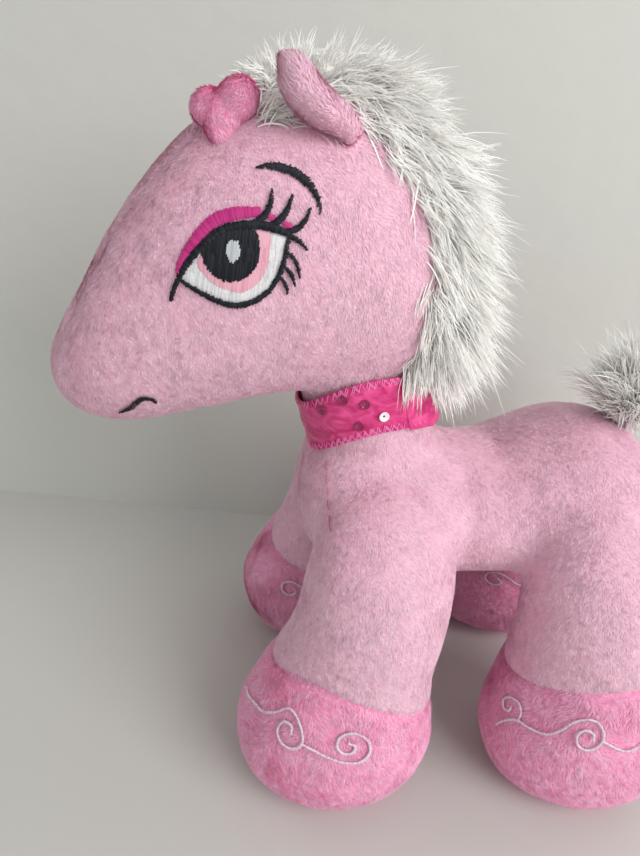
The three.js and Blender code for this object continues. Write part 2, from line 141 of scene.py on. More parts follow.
def loft(centres, e1, e2, r1, r2, sides=48):
    """Vertices and faces of a closed skin over oval rings; e1 x e2 points along the path."""
    count = len(centres)
    angle = np.linspace(0, 2 * math.pi, sides, endpoint=False)
    ring = (np.cos(angle)[None, :, None] * (e1 * r1[:, None])[:, None]
            + np.sin(angle)[None, :, None] * (e2 * r2[:, None])[:, None])
    verts = (centres[:, None] + ring).reshape(-1, 3)
    faces = []
    for k in range(count - 1):
        low, high = k * sides, (k + 1) * sides
        for i in range(sides):
            j = (i + 1) % sides
            faces.append((low + i, low + j, high + j, high + i))
    faces.append(tuple(range(sides - 1, -1, -1)))
    faces.append(tuple(range((count - 1) * sides, count * sides)))
    return verts, faces


def body_loft(table, steps=60):
    rows = smooth_rows(table, steps)
    rows[:, 2:] = np.maximum(rows[:, 2:], 0.8)
    ones = np.ones((len(rows), 1))
    centres = on_middle(rows[:, :2])
    return loft(centres, ones * [0, 0, 1.0], ones * [1.0, 0, 0], rows[:, 2], rows[:, 3])


def leg_loft(which, side, steps=60):
    foot_x, foot_y = FOOT[which]
    rows = smooth_rows(LEG, steps)
    rows[:, 2:4] = np.maximum(rows[:, 2:4], 0.8)
    ones = np.ones((len(rows), 1))
    centres = np.column_stack([side * (foot_x - 0.02 * rows[:, 0] - rows[:, 4]),
                               foot_y + LEAN[which] * rows[:, 1], rows[:, 0]])
    return loft(centres, ones * [1.0, 0, 0], ones * [0, 1.0, 0], rows[:, 2], rows[:, 3])


def neck_tube(low, high, radius, flare=0.0):
    s = np.linspace(low, high, 24)
    ones = np.ones((len(s), 1))
    centres = NECK_BASE + s[:, None] * NECK_AXIS
    e1 = np.array([1.0, 0, 0]) * ones
    e2 = np.cross(NECK_AXIS * ones, e1)
    r = radius + flare * np.clip((-s - 8) / 12, 0, 1) ** 2
    return loft(centres, e1, e2, r, r)


def ellipsoid(centre, radii, rings=16, sides=24):
    t = np.linspace(0.02, math.pi - 0.02, rings)
    ones = np.ones((rings, 1))
    centres = np.column_stack([np.zeros(rings), np.zeros(rings), -np.cos(t) * radii[2]])
    verts, faces = loft(centres, ones * [1.0, 0, 0], ones * [0, 1.0, 0],
                        np.sin(t) * radii[0], np.sin(t) * radii[1], sides)
    return verts + np.asarray(centre, float), faces


def new_object(name, verts, faces):
    mesh = bpy.data.meshes.new(name)
    mesh.from_pydata([tuple(v) for v in verts], [], faces)
    mesh.update()
    mesh.polygons.foreach_set("use_smooth", np.ones(len(mesh.polygons), bool))
    obj = bpy.data.objects.new(name, mesh)
    bpy.context.scene.collection.objects.link(obj)
    return obj


def remeshed(parts, voxel):
    """One closed skin round several overlapping solids, as (vertices in toy millimetres, quads)."""
    verts, faces, base = [], [], 0
    for part_verts, part_faces in parts:
        verts.append(part_verts)
        faces += [tuple(base + i for i in face) for face in part_faces]
        base += len(part_verts)
    obj = new_object("remesh_work", np.vstack(verts), faces)
    modifier = obj.modifiers.new("remesh", "REMESH")
    modifier.mode = "VOXEL"
    modifier.voxel_size = voxel
    mesh = bpy.data.meshes.new_from_object(obj.evaluated_get(bpy.context.evaluated_depsgraph_get()))
    out_verts = vertex_array(mesh)
    out_faces = [tuple(p.vertices) for p in mesh.polygons]
    bpy.data.objects.remove(obj)
    bpy.data.meshes.remove(mesh)
    return out_verts, out_faces


def vertex_array(mesh):
    co = np.zeros(len(mesh.vertices) * 3, np.float32)
    mesh.vertices.foreach_get("co", co)
    return co.reshape(-1, 3).astype(float)


def edge_array(faces):
    pairs = set()
    for face in faces:
        for i, a in enumerate(face):
            b = face[i - 1]
            pairs.add((a, b) if a < b else (b, a))
    return np.array(sorted(pairs))


def relaxed(verts, edges, rounds, weight=None, share=0.5):
    """Laplacian smoothing; weight is how much each vertex takes part, from 0 to 1."""
    count = len(verts)
    degree = np.bincount(edges.ravel(), minlength=count).astype(float)
    weight = np.ones(count) if weight is None else weight
    out = verts.copy()
    for _ in range(rounds):
        total = np.zeros_like(out)
        for axis in range(3):
            total[:, axis] = (np.bincount(edges[:, 0], out[edges[:, 1], axis], count)
                              + np.bincount(edges[:, 1], out[edges[:, 0], axis], count))
        out += share * weight[:, None] * (total / degree[:, None] - out)
    return out


def triangles_of(faces):
    return np.array([(f[0], f[i], f[i + 1]) for f in faces for i in range(1, len(f) - 1)])


def point_normals(verts, faces):
    tris = triangles_of(faces)
    a, b, c = (verts[tris[:, i]] for i in range(3))
    n = np.cross(b - a, c - a)
    out = np.zeros_like(verts)
    for i in range(3):
        for axis in range(3):
            out[:, axis] += np.bincount(tris[:, i], n[:, axis], len(verts))
    return out / np.maximum(np.linalg.norm(out, axis=1, keepdims=True), 1e-12)


def value_noise(points, size, seed=0):
    """Smooth noise from -1 to 1, with lumps about `size` apart, the same on every run."""
    p = np.asarray(points, float) / size + 1000.0
    cell = np.floor(p).astype(np.int64)
    f = p - cell
    f = f * f * (3 - 2 * f)
    total = np.zeros(len(p))
    for dx in (0, 1):
        for dy in (0, 1):
            for dz in (0, 1):
                h = ((cell[:, 0] + dx) * 73856093) ^ ((cell[:, 1] + dy) * 19349663)
                h = h ^ ((cell[:, 2] + dz) * 83492791) ^ (seed * 2654435761)
                h = (h ^ (h >> 13)) * 1274126177
                value = ((h ^ (h >> 16)) & 0xFFFF) / 32767.5 - 1
                w = ((f[:, 0] if dx else 1 - f[:, 0]) * (f[:, 1] if dy else 1 - f[:, 1])
                     * (f[:, 2] if dz else 1 - f[:, 2]))
                total += w * value
    return total


def declare(piece, body, slot, *nodes):
    """The body a piece rides on, its material slot, which is not used, and the nodes it stands for."""
    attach(piece, body)
    if nodes:
        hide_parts(*nodes)


# -------- camera, light and stage

SENSOR_HEIGHT = 36
LENS_LENGTH = 27.042
CAMERA_AT = np.array([214.0, -33.3, 241.7])
CAMERA_AZIMUTH = math.radians(83.65)
CAMERA_PITCH = math.radians(27.0)
CAMERA_ROLL = math.radians(4.28)
ROOM_COLOUR = (0.92, 0.95, 0.93)
ROOM_STRENGTH = 0.52
WINDOW_AT = Vector((1.0, 0.8, 0.85))
WINDOW_TARGET = Vector((0, 0.03, 0.12))
WINDOW_SIZE = 1.0
WINDOW_POWER = 15.5
WINDOW_COLOUR = (1.0, 0.99, 0.97)
TABLE_HALF = 1600
WALL_START = np.array([-145.0, -117.0, 0])
WALL_ALONG = np.array([25.0, 164.0, 0])
WALL_REACH = 1500


def make_camera():
    data = bpy.data.cameras.new("camera")
    data.sensor_width = SENSOR_HEIGHT  # the automatic fit takes the longer side, which is the height here
    data.lens = LENS_LENGTH
    data.clip_start = 0.01
    camera = bpy.data.objects.new("camera", data)
    bpy.context.scene.collection.objects.link(camera)
    level = math.cos(CAMERA_PITCH)
    right = Vector((math.cos(CAMERA_AZIMUTH), math.sin(CAMERA_AZIMUTH), 0))
    forward = Vector((-right.y * level, right.x * level, -math.sin(CAMERA_PITCH)))
    up = right.cross(forward)
    turned_right = math.cos(CAMERA_ROLL) * right + math.sin(CAMERA_ROLL) * up
    turned_up = math.cos(CAMERA_ROLL) * up - math.sin(CAMERA_ROLL) * right
    turn = Matrix((turned_right, turned_up, -forward)).transposed()
    camera.matrix_world = Matrix.Translation(to_row(CAMERA_AT)) @ turn.to_4x4()
    bpy.context.scene.camera = camera


def make_light():
    """A soft room with one large window, in metres and watts."""
    world = bpy.data.worlds.new("soft_room")
    bpy.context.scene.world = world
    world.use_nodes = True
    background = world.node_tree.nodes["Background"]
    background.inputs["Color"].default_value = (*ROOM_COLOUR, 1)
    background.inputs["Strength"].default_value = ROOM_STRENGTH
    data = bpy.data.lights.new("window", "AREA")
    data.size = WINDOW_SIZE
    data.energy = WINDOW_POWER
    data.color = WINDOW_COLOUR
    lamp = bpy.data.objects.new("window", data)
    bpy.context.scene.collection.objects.link(lamp)
    lamp.location = WINDOW_AT
    lamp.rotation_euler = (WINDOW_TARGET - WINDOW_AT).to_track_quat("-Z", "Y").to_euler()
    bpy.context.scene.view_settings.view_transform = "Standard"


def staged(name, corners, material):
    obj = new_object(name, to_row(np.array(corners, float)), [(0, 1, 2, 3)])
    obj.data.materials.append(material)


def stage_material(name, colour, roughness):
    material = bpy.data.materials.new(name)
    material.use_nodes = True
    shader = material.node_tree.nodes["Principled BSDF"]
    shader.inputs["Base Color"].default_value = (*colour, 1)
    shader.inputs["Roughness"].default_value = roughness
    return material


def make_floor():
    """A pale table, and a wall beyond it that shows only from the front."""
    table = stage_material("table", (0.67, 0.66, 0.635), 0.55)
    table.node_tree.nodes["Principled BSDF"].inputs["Specular IOR Level"].default_value = 0.3
    square = np.array([[-1, -1, 0], [1, -1, 0], [1, 1, 0], [-1, 1, 0]])
    staged("table_top", square * TABLE_HALF, table)

    paint = stage_material("wall_paint", (0.67, 0.675, 0.64), 0.9)
    nodes, links = paint.node_tree.nodes, paint.node_tree.links
    shader = nodes["Principled BSDF"]
    noise = nodes.new("ShaderNodeTexNoise")
    noise.inputs["Scale"].default_value = 120
    bump = nodes.new("ShaderNodeBump")
    bump.inputs["Strength"].default_value = 0.25
    bump.inputs["Distance"].default_value = 0.002
    links.new(noise.outputs["Fac"], bump.inputs["Height"])
    links.new(bump.outputs["Normal"], shader.inputs["Normal"])
    clear = nodes.new("ShaderNodeBsdfTransparent")
    facing = nodes.new("ShaderNodeNewGeometry")
    mix = nodes.new("ShaderNodeMixShader")
    links.new(facing.outputs["Backfacing"], mix.inputs["Fac"])
    links.new(shader.outputs["BSDF"], mix.inputs[1])
    links.new(clear.outputs["BSDF"], mix.inputs[2])
    links.new(mix.outputs["Shader"], nodes["Material Output"].inputs["Surface"])
    reach = unit(WALL_ALONG) * WALL_REACH
    top = np.array([0, 0, WALL_REACH])
    left, right = WALL_START - reach, WALL_START + reach
    staged("wall", [left, right, right + top, left + top], paint)


# -------- body skins

BODY_VOXEL = 1.7
HEAD_VOXEL = 1.6
FUR_VOXEL = 1.3
LEG_TOP = 76.0  # no hoof seam reaches this height
HOOF_GROOVE = 1.5  # how deep each seam pulls the skin in
SOLE_GROOVE = 0.9
CHEST_GROOVE = 0.9
FOREHEAD_GROOVE = 0.5
SHOULDER_FOLD = 1.9
JAW_DENT = 1.4
JAW = (-57, 144)  # y and z of the dent behind the jaw
LEG_PLANE = np.array([0.35, 0.0, -0.937])  # points down and outwards
LEG_PLANE_START = -70.3  # along it, a leg's own skin starts here
LEG_PLANE_END = -50.0  # a further distance along it, which nothing takes up
MID_TORSO_Y = 50.0


def along_neck(points):
    return (points - NECK_BASE) @ NECK_AXIS


def above_hoof_seam(points, which, side):
    """Height above the seam between sleeve and hoof, which climbs to the toes and beside the leg."""
    foot_x, foot_y = FOOT[which]
    out = (points[:, 0] * side - foot_x + 1) / 28
    back = (points[:, 1] - foot_y) / 32
    reach = np.maximum(np.hypot(out, back), 0.3)
    level, toe_rise = HOOF_SEAM[which]
    share = out / reach
    return points[:, 2] - (level - toe_rise * back / reach + 7 * share + 7 * share**2)


def lumps(points, amount):
    """Unevenness of a hand-stuffed toy."""
    return amount * (0.6 * value_noise(points, 16, 3) + 0.4 * value_noise(points, 7, 5))


def make_body_shape():
    """Torso, neck and legs as one skin, relaxed where they join, with the seams drawn in."""
    parts = [body_loft(TORSO), neck_tube(-34, 20, NECK_RADIUS - 0.4, flare=4)]
    parts += [leg_loft(which, side) for which in FOOT for side in (1, -1)]
    verts, faces = remeshed(parts, BODY_VOXEL)
    edges = edge_array(faces)
    weight = np.clip((verts[:, 2] - 66) / 25, 0.06, 1) * np.clip((3 - along_neck(verts)) / 12, 0.03, 1)
    verts = relaxed(verts, edges, 24, weight)
    normals = point_normals(verts, faces)
    quiet = np.clip(verts[:, 2] / 12, 0, 1) * np.clip((2 - along_neck(verts)) / 8, 0, 1)
    verts = verts + normals * (lumps(verts, 0.6) * quiet)[:, None]
    fold = np.interp(verts[:, 2], [88, 100, 124, 150], [43, 44, 43, 31])
    deep = np.exp(-((verts[:, 1] - fold) / 4.5) ** 2) * np.clip((np.abs(verts[:, 0]) - 10) / 12, 0, 1)
    deep *= np.clip((verts[:, 2] - 84) / 12, 0, 1)
    verts = verts - normals * (SHOULDER_FOLD * deep)[:, None]
    for which in FOOT:
        for side in (1, -1):
            near = leg_region(verts, which, side) & (verts[:, 2] < LEG_TOP)
            groove = HOOF_GROOVE * np.exp(-(above_hoof_seam(verts, which, side) / 1.9) ** 2) * near
            verts = verts - normals * groove[:, None]
    sole = SOLE_GROOVE * np.exp(-((verts[:, 2] - SOLE_SEAM_Z) / 1.5) ** 2)
    verts = verts - normals * np.array([1, 1, 0]) * sole[:, None]
    chest = CHEST_GROOVE * np.exp(-(verts[:, 0] / 1.3) ** 2) * (verts[:, 1] < 6) * (verts[:, 2] < 126)
    verts = verts - normals * chest[:, None]
    verts[:, 2] = np.maximum(verts[:, 2], 0)
    return verts, faces


def leg_region(points, which, side):
    return (points[:, 0] * side > 0) & ((points[:, 1] < MID_TORSO_Y) == (which == "front"))


def make_head_shape():
    """The head on the top of the neck, with the forehead seams and a dent behind the jaw."""
    parts = [body_loft(HEAD), neck_tube(4, 40, NECK_RADIUS - 0.9)]
    verts, faces = remeshed(parts, HEAD_VOXEL)
    edges = edge_array(faces)
    weight = np.clip((along_neck(verts) - 17) / 12, 0.05, 1)
    verts = relaxed(verts, edges, 20, weight)
    normals = point_normals(verts, faces)
    quiet = np.clip((along_neck(verts) - 20) / 8, 0, 1)
    verts = verts + normals * (lumps(verts, 0.5) * quiet)[:, None]
    above = np.clip(normals[:, 2] * 2 + 0.4, 0, 1) * np.clip((-30 - verts[:, 1]) / 10, 0, 1)
    seam = np.exp(-((np.abs(verts[:, 0]) - FOREHEAD_SEAM) / 2) ** 2) * above
    jaw = np.exp(-((verts[:, 1] - JAW[0]) ** 2 + (verts[:, 2] - JAW[1]) ** 2) / 60)
    jaw *= np.abs(verts[:, 0]) > 8
    verts = verts - normals * (FOREHEAD_GROOVE * seam + JAW_DENT * jaw)[:, None]
    return verts, faces


def cut_mesh(verts, faces, cuts):
    """Cuts the mesh where each field crosses zero, by straightening the field to a flat cut and back."""
    for field, test in cuts:
        height = field(verts)
        lifted = verts.copy()
        lifted[:, 2] = height
        obj = new_object("cut_work", lifted, faces)
        bm = bmesh.new()
        bm.from_mesh(obj.data)
        home = [bm.verts.layers.float.new(axis) for axis in "xyz"]
        for vert, place in zip(bm.verts, verts):
            for axis in range(3):
                vert[home[axis]] = place[axis]
        middles = face_middles(verts, faces)
        bm.faces.ensure_lookup_table()
        geom = set()
        for i in np.nonzero(test(middles))[0]:
            face = bm.faces[i]
            geom.add(face)
            geom.update(face.edges)
            geom.update(face.verts)
        bmesh.ops.bisect_plane(bm, geom=list(geom), plane_co=(0, 0, 0), plane_no=(0, 0, 1))
        bm.verts.index_update()
        verts = np.array([[vert[layer] for layer in home] for vert in bm.verts])
        faces = [tuple(v.index for v in face.verts) for face in bm.faces]
        bm.free()
        mesh = obj.data
        bpy.data.objects.remove(obj)
        bpy.data.meshes.remove(mesh)
    return verts, faces


def face_middles(verts, faces):
    return np.array([verts[list(f)].mean(0) for f in faces])


def piece_from(name, verts, faces, keep, normals):
    """An object of the kept faces, in the row frame, shaded with the whole skin's normals."""
    chosen = [f for f, k in zip(faces, keep) if k]
    used = sorted({i for f in chosen for i in f})
    place = {old: new for new, old in enumerate(used)}
    obj = new_object(name, to_row(verts[used]), [tuple(place[i] for i in f) for f in chosen])
    obj.data.normals_split_custom_set_from_vertices([tuple(n) for n in normals[used]])
    return {"object": obj, "verts": verts, "faces": chosen, "normals": normals}


def split_body(verts, faces):
    """The body's skin as a dict of pieces: torso, and for each leg its sleeve, hoof and sole."""
    cuts = []
    for which in FOOT:
        for side in (1, -1):
            cuts.append((lambda p, w=which, s=side: above_hoof_seam(p, w, s),
                         lambda p, w=which, s=side: leg_region(p, w, s) & (p[:, 2] < LEG_TOP)))
    for side in (1, -1):
        cuts.append((lambda p, s=side: p @ (LEG_PLANE * [s, 1, 1]) - LEG_PLANE_START,
                     lambda p, s=side: (p[:, 0] * s > 0) & (p[:, 2] < 128)))
    cuts.append((lambda p: p[:, 2] - SOLE_SEAM_Z, lambda p: p[:, 2] < 20))
    cuts.append((lambda p: along_neck(p) - NECK_CUT, lambda p: p[:, 2] > 120))
    verts, faces = cut_mesh(verts, faces, cuts)
    normals = point_normals(verts, faces)
    middle = face_middles(verts, faces)
    inside_leg = np.zeros(len(faces), bool)
    pieces = {}
    for which in FOOT:
        for word, side in SIDES.items():
            here = leg_region(middle, which, side)
            here &= middle @ (LEG_PLANE * [side, 1, 1]) > LEG_PLANE_START
            inside_leg |= here
            hoof = here & (above_hoof_seam(middle, which, side) < 0) & (middle[:, 2] < LEG_TOP)
            sole = here & (middle[:, 2] < SOLE_SEAM_Z)
            name = f"{which}_{word}"
            for part, label, keep in (("sleeve", "leg", here & ~hoof), ("hoof", "hoof", hoof & ~sole),
                                      ("sole", "sole", sole)):
                pieces[f"{name}_{part}"] = piece_from(f"{name}_{label}_velour", verts, faces, keep, normals)
    torso = ~inside_leg & (along_neck(middle) < NECK_CUT)
    pieces["torso"] = piece_from("torso_velour", verts, faces, torso, normals)
    return pieces


def split_head(verts, faces):
    """The head's skin, cut off where it goes under the ribbon."""
    cuts = [(lambda p: along_neck(p) - HEAD_CUT, lambda p: along_neck(p) < 2 * HEAD_CUT)]
    verts, faces = cut_mesh(verts, faces, cuts)
    keep = along_neck(face_middles(verts, faces)) > HEAD_CUT
    return piece_from("head_velour", verts, faces, keep, point_normals(verts, faces))


# -------- materials

def linear(swatch):
    """Linear colour from the 0 to 255 values of a swatch."""
    return tuple(c / 255 / 12.92 if c < 10 else ((c / 255 + 0.055) / 1.055) ** 2.4 for c in swatch)


def plain_material(name, swatch, roughness, coat=0.0):
    material = bpy.data.materials.new(name)
    material.use_nodes = True
    inputs = material.node_tree.nodes["Principled BSDF"].inputs
    inputs["Base Color"].default_value = (*linear(swatch), 1)
    inputs["Roughness"].default_value = roughness
    inputs["Coat Weight"].default_value = coat
    inputs["Specular IOR Level"].default_value = 0.25
    return material


def shades(name, roughness, *swatches):
    return [plain_material(f"{name}_{i}", swatch, roughness) for i, swatch in enumerate(swatches, start=1)]


# The pink piles' tones run from lit to shaded: grow_pile uses them as painted sheen and shade of the nap,
# besides a little random tone per blade.
LIGHT_PILE_TONE_AND_SHEEN = shades("light_pile_tone_and_sheen", 0.85, (252, 214, 232), (248, 205, 225), (244, 197, 218), (237, 187, 209))
HOT_PILE_TONE_AND_SHEEN = shades("hot_pile_tone_and_sheen", 0.85, (255, 200, 228), (255, 184, 218), (253, 168, 208), (242, 142, 190))
WHITE_PILE = shades("white_pile", 0.7, (255, 255, 253), (252, 250, 247), (246, 242, 238))
# The skins under the pile are their fabric's pink made a little darker than the pile, as painted shade
# between the fibres.
LIGHT_SKIN_PAINTED_SHADE = plain_material("light_skin_painted_shade", (240, 190, 210), 1)
HOT_SKIN_PAINTED_SHADE = plain_material("hot_skin_painted_shade", (242, 148, 190), 1)
WHITE_SKIN = plain_material("white_skin", (250, 247, 244), 1)
# Each thread colour is a pair, a lighter and a darker tone, that paints the threads' sheen and shade.
BLACK_THREAD = shades("black_thread", 0.45, (24, 25, 33), (40, 42, 54))
WHITE_THREAD = shades("white_thread", 0.45, (240, 240, 241), (222, 224, 230))
ROSE_THREAD = shades("rose_thread", 0.45, (245, 188, 204), (234, 170, 189))
GREY_THREAD = shades("grey_thread", 0.45, (206, 210, 216), (188, 193, 201))
LID_THREAD = shades("lid_thread", 0.45, (212, 64, 146), (194, 48, 130))
SILVER_THREAD = shades("silver_thread", 0.35, (238, 222, 236), (220, 198, 218))
SEAM_THREAD = shades("seam_thread", 0.7, (206, 120, 152), (190, 100, 136))
RIBBON_THREAD = shades("ribbon_thread", 0.35, (252, 136, 196), (228, 66, 146))
RIBBON = plain_material("ribbon", (216, 56, 126), 0.4)
SEQUIN = plain_material("sequin", (150, 14, 82), 0.12, coat=1.0)
# Its white is a painted reflection of the light the sequin catches.
SEQUIN_PAINTED_REFLECTION = plain_material("sequin_painted_reflection", (252, 252, 255), 0.1, coat=1.0)


def add_sheen(material, weight, tint):
    inputs = material.node_tree.nodes["Principled BSDF"].inputs
    inputs["Sheen Weight"].default_value = weight
    inputs["Sheen Roughness"].default_value = 0.5
    inputs["Sheen Tint"].default_value = (*tint, 1)


def satin_sheen_and_fold_shade(material, dark, light):
    """Painted sheen and shade: two tones in soft bands, for the light the crumpled satin catches and the
    shade in its folds.
    """
    nodes, links = material.node_tree.nodes, material.node_tree.links
    place = nodes.new("ShaderNodeTexCoord")
    stretch = nodes.new("ShaderNodeMapping")
    stretch.inputs["Scale"].default_value = (1, 1, 1.8)
    noise = nodes.new("ShaderNodeTexNoise")
    noise.inputs["Scale"].default_value = 150
    noise.inputs["Detail"].default_value = 4
    noise.inputs["Distortion"].default_value = 0.8
    ramp = nodes.new("ShaderNodeValToRGB")
    for stop, position, swatch in zip(ramp.color_ramp.elements, (0.36, 0.66), (dark, light)):
        stop.position = position
        stop.color = (*linear(swatch), 1)
    links.new(place.outputs["Object"], stretch.inputs["Vector"])
    links.new(stretch.outputs["Vector"], noise.inputs["Vector"])
    links.new(noise.outputs["Fac"], ramp.inputs["Fac"])
    links.new(ramp.outputs["Color"], nodes["Principled BSDF"].inputs["Base Color"])


add_sheen(RIBBON, 0.3, (1, 0.5, 0.7))
# Painted sheen and shade over the ribbon's pink.
satin_sheen_and_fold_shade(RIBBON, (198, 38, 110), (246, 90, 158))


# -------- pile and strands

def comb_along(flow):
    """A comb that runs one way everywhere."""
    return lambda points: np.ones((len(points), 1)) * np.array(flow)


def scatter(skin, per_mm2, rng, mask=None):
    """Random points over a skin's faces, with the normals there."""
    verts, normals = skin["verts"], skin["normals"]
    tris = triangles_of(skin["faces"])
    a, b, c = (verts[tris[:, i]] for i in range(3))
    area = np.linalg.norm(np.cross(b - a, c - a), axis=1) / 2
    count = int(area.sum() * per_mm2)
    pick = np.searchsorted(np.cumsum(area) / area.sum(), rng.random(count)).clip(0, len(tris) - 1)
    u, v = rng.random(count), rng.random(count)
    over = u + v > 1
    u[over], v[over] = 1 - u[over], 1 - v[over]
    w = [(1 - u - v)[:, None], u[:, None], v[:, None]]
    points = sum(w[i] * verts[tris[pick, i]] for i in range(3))
    facing = sum(w[i] * normals[tris[pick, i]] for i in range(3))
    facing /= np.linalg.norm(facing, axis=1, keepdims=True)
    if mask is not None:
        keep = mask(points)
        points, facing = points[keep], facing[keep]
    return points, facing


def quick_mesh(name, verts, corners, per_face, materials, shade=None, corner_normals=None):
    """A mesh of same-sized faces straight from arrays, in the row frame."""
    mesh = bpy.data.meshes.new(name)
    count = len(corners) // per_face
    mesh.vertices.add(len(verts))
    mesh.vertices.foreach_set("co", to_row(verts).astype(np.float32).ravel())
    mesh.loops.add(len(corners))
    mesh.loops.foreach_set("vertex_index", np.asarray(corners, np.int32))
    mesh.polygons.add(count)
    mesh.polygons.foreach_set("loop_start", np.arange(0, len(corners), per_face, dtype=np.int32))
    mesh.polygons.foreach_set("use_smooth", np.ones(count, bool))
    for material in materials:
        mesh.materials.append(material)
    if shade is not None:
        mesh.polygons.foreach_set("material_index", shade.astype(np.int32))
    mesh.update(calc_edges=True)
    mesh.validate()
    if corner_normals is not None:
        mesh.normals_split_custom_set(corner_normals.tolist())
    obj = bpy.data.objects.new(name, mesh)
    bpy.context.scene.collection.objects.link(obj)
    return obj


def unit(vectors):
    return vectors / np.maximum(np.linalg.norm(vectors, axis=-1, keepdims=True), 1e-9)


def grow_pile(name, skin, materials, comb, seed, per_mm2=4.6, length=1.5, width=0.52, lie=0.26, swirl=0.3,
              patch=1.0, mask=None):
    """Combed pile: one slim blade per tuft, lying along the comb and shaded like the skin under it.

    `lie` is how far the blades stand up, in radians; `swirl` says how much their run varies, and `patch` how
    strong the broad patches of painted sheen and shade in their tone are.
    """
    rng = np.random.default_rng(seed)
    points, facing = scatter(skin, per_mm2, rng, mask)
    count = len(points)
    flow = comb(points)
    flow = unit(flow - facing * (flow * facing).sum(1, keepdims=True))
    across = np.cross(facing, flow)
    turn = swirl * 2.2 * value_noise(points, 8, seed) + swirl * 1.2 * value_noise(points, 3.2, seed + 1)
    turn += 0.22 * rng.standard_normal(count)
    flow, across = (np.cos(turn)[:, None] * flow + np.sin(turn)[:, None] * across,
                    np.cos(turn)[:, None] * across - np.sin(turn)[:, None] * flow)
    long = length * (0.75 + 0.5 * rng.random(count)) * (1 + 0.2 * value_noise(points, 5, seed + 2))
    rise = lie * (0.7 + 0.6 * rng.random(count))
    tips = points + flow * (long * np.cos(rise))[:, None] + facing * (long * np.sin(rise))[:, None]
    half = across * (width * (0.7 + 0.6 * rng.random(count)) / 2)[:, None]
    roots = points - facing * 0.15
    verts = np.stack([roots + half, roots - half, tips], 1).reshape(-1, 3)
    grain = points * [1, 1, 0.62]
    sideways = 0.36 * value_noise(grain, 1.2, seed + 5) + 0.16 * rng.standard_normal(count)
    lengthways = 0.31 * value_noise(grain, 1.4, seed + 6) + 0.1 * rng.standard_normal(count)
    lit = unit(facing + across * sideways[:, None] + flow * lengthways[:, None])
    # Painted sheen and shade: fine bands along the comb and broader patches pick lighter or darker tones
    # where the nap would catch or lose the light; the random part is each blade's own tone.
    sheen_streak = value_noise(points * [1, 1, 0.5], 1.2, seed + 3)
    sheen_streak += 0.3 * value_noise(points, 8, seed + 4) * patch
    level = 0.42 + 0.24 * sheen_streak + 0.14 * rng.standard_normal(count)
    shade = np.clip((level * len(materials)).astype(int), 0, len(materials) - 1)
    return quick_mesh(name, verts, np.arange(len(verts)), 3, materials, shade, np.repeat(lit, 3, axis=0))


def strand_mesh(name, paths, widths, sides, materials, shade):
    """Flat tapered strands: paths (n, k, 3), widths (n, k), sides (n, k, 3)."""
    n, k = widths.shape
    half = sides * (widths / 2)[..., None]
    verts = np.stack([paths - half, paths + half], 2).reshape(-1, 3)
    strand = np.arange(n)[:, None] * k * 2
    step = np.arange(k - 1)[None] * 2
    base = (strand + step).ravel()
    corners = np.stack([base, base + 1, base + 3, base + 2], 1).ravel()
    return quick_mesh(name, verts, corners, 4, materials, np.repeat(shade, k - 1))


# -------- soft forms

def soft_form(name, parts, voxel, rounds, material, bumps=0.0, bump_seed=0):
    """A stuffed form round overlapping solids, relaxed and then left a little uneven."""
    verts, faces = remeshed(parts, voxel)
    verts = relaxed(verts, edge_array(faces), rounds)
    verts = verts + point_normals(verts, faces) * (bumps * value_noise(verts, 5, bump_seed))[:, None]
    form = piece_from(name, verts, faces, np.ones(len(faces), bool), point_normals(verts, faces))
    form["object"].data.materials.append(material)
    return form


EAR_VOXEL = 0.7
HEART_VOXEL = 0.6
EAR_ARCH = 1.6
# [share of the ear's length, half thickness, half width]
EAR_RINGS = [[-0.2, 3.0, 3.6], [-0.05, 3.6, 4.4], [0.15, 4.6, 6.2], [0.45, 5.2, 7.6], [0.75, 5.1, 7.2],
             [0.93, 4.1, 5.6], [1.04, 2.4, 3.2], [1.1, 0.8, 1.0]]


def make_ear(word, side):
    """A thick stuffed leaf that bows a little forwards."""
    along = unit(EAR_TIP - EAR_BASE)
    thick = unit(np.cross([1.0, 0, 0], along))
    wide = np.cross(along, thick)
    rings = smooth_rows(EAR_RINGS, 40)
    length = np.linalg.norm(EAR_TIP - EAR_BASE)
    arch = EAR_ARCH * np.sin(np.clip(rings[:, 0], 0, 1) * math.pi)[:, None] * thick
    centres = EAR_BASE + rings[:, :1] * length * along + arch
    ones = np.ones((len(rings), 1))
    verts, faces = loft(centres, ones * thick, ones * wide, rings[:, 1], rings[:, 2], 32)
    if side < 0:
        verts = verts * [-1, 1, 1]
        faces = [tuple(reversed(f)) for f in faces]
    ear = f"ear_{word}"
    form = soft_form(f"{ear}_cushion", [(verts, faces)], EAR_VOXEL, 3, LIGHT_SKIN_PAINTED_SHADE)
    pile = grow_pile(f"{ear}_pile", form, LIGHT_PILE_TONE_AND_SHEEN, comb_along(along * [side, 1, 1]), 70 + side,
                     per_mm2=5.5, length=1.9, lie=0.32)
    declare(form["object"], ear, "light_pink_velour", f"{ear}_velour", f"{ear}_stuffing")
    declare(pile, ear, "light_pink_velour")


# [right, up, radius right, radius up, radius through] in the plane of the heart, which leans to its right
HEART_CUSHIONS = [
    [-4.9, 1.5, 5.3, 5.3, 5], [3.9, 4.2, 6, 6.1, 5.5], [0.1, 0.6, 5.4, 5.2, 5.2],
    [0.6, -2.4, 5.5, 5.8, 5.1], [1.3, -5.6, 3.9, 4, 4.2],
]


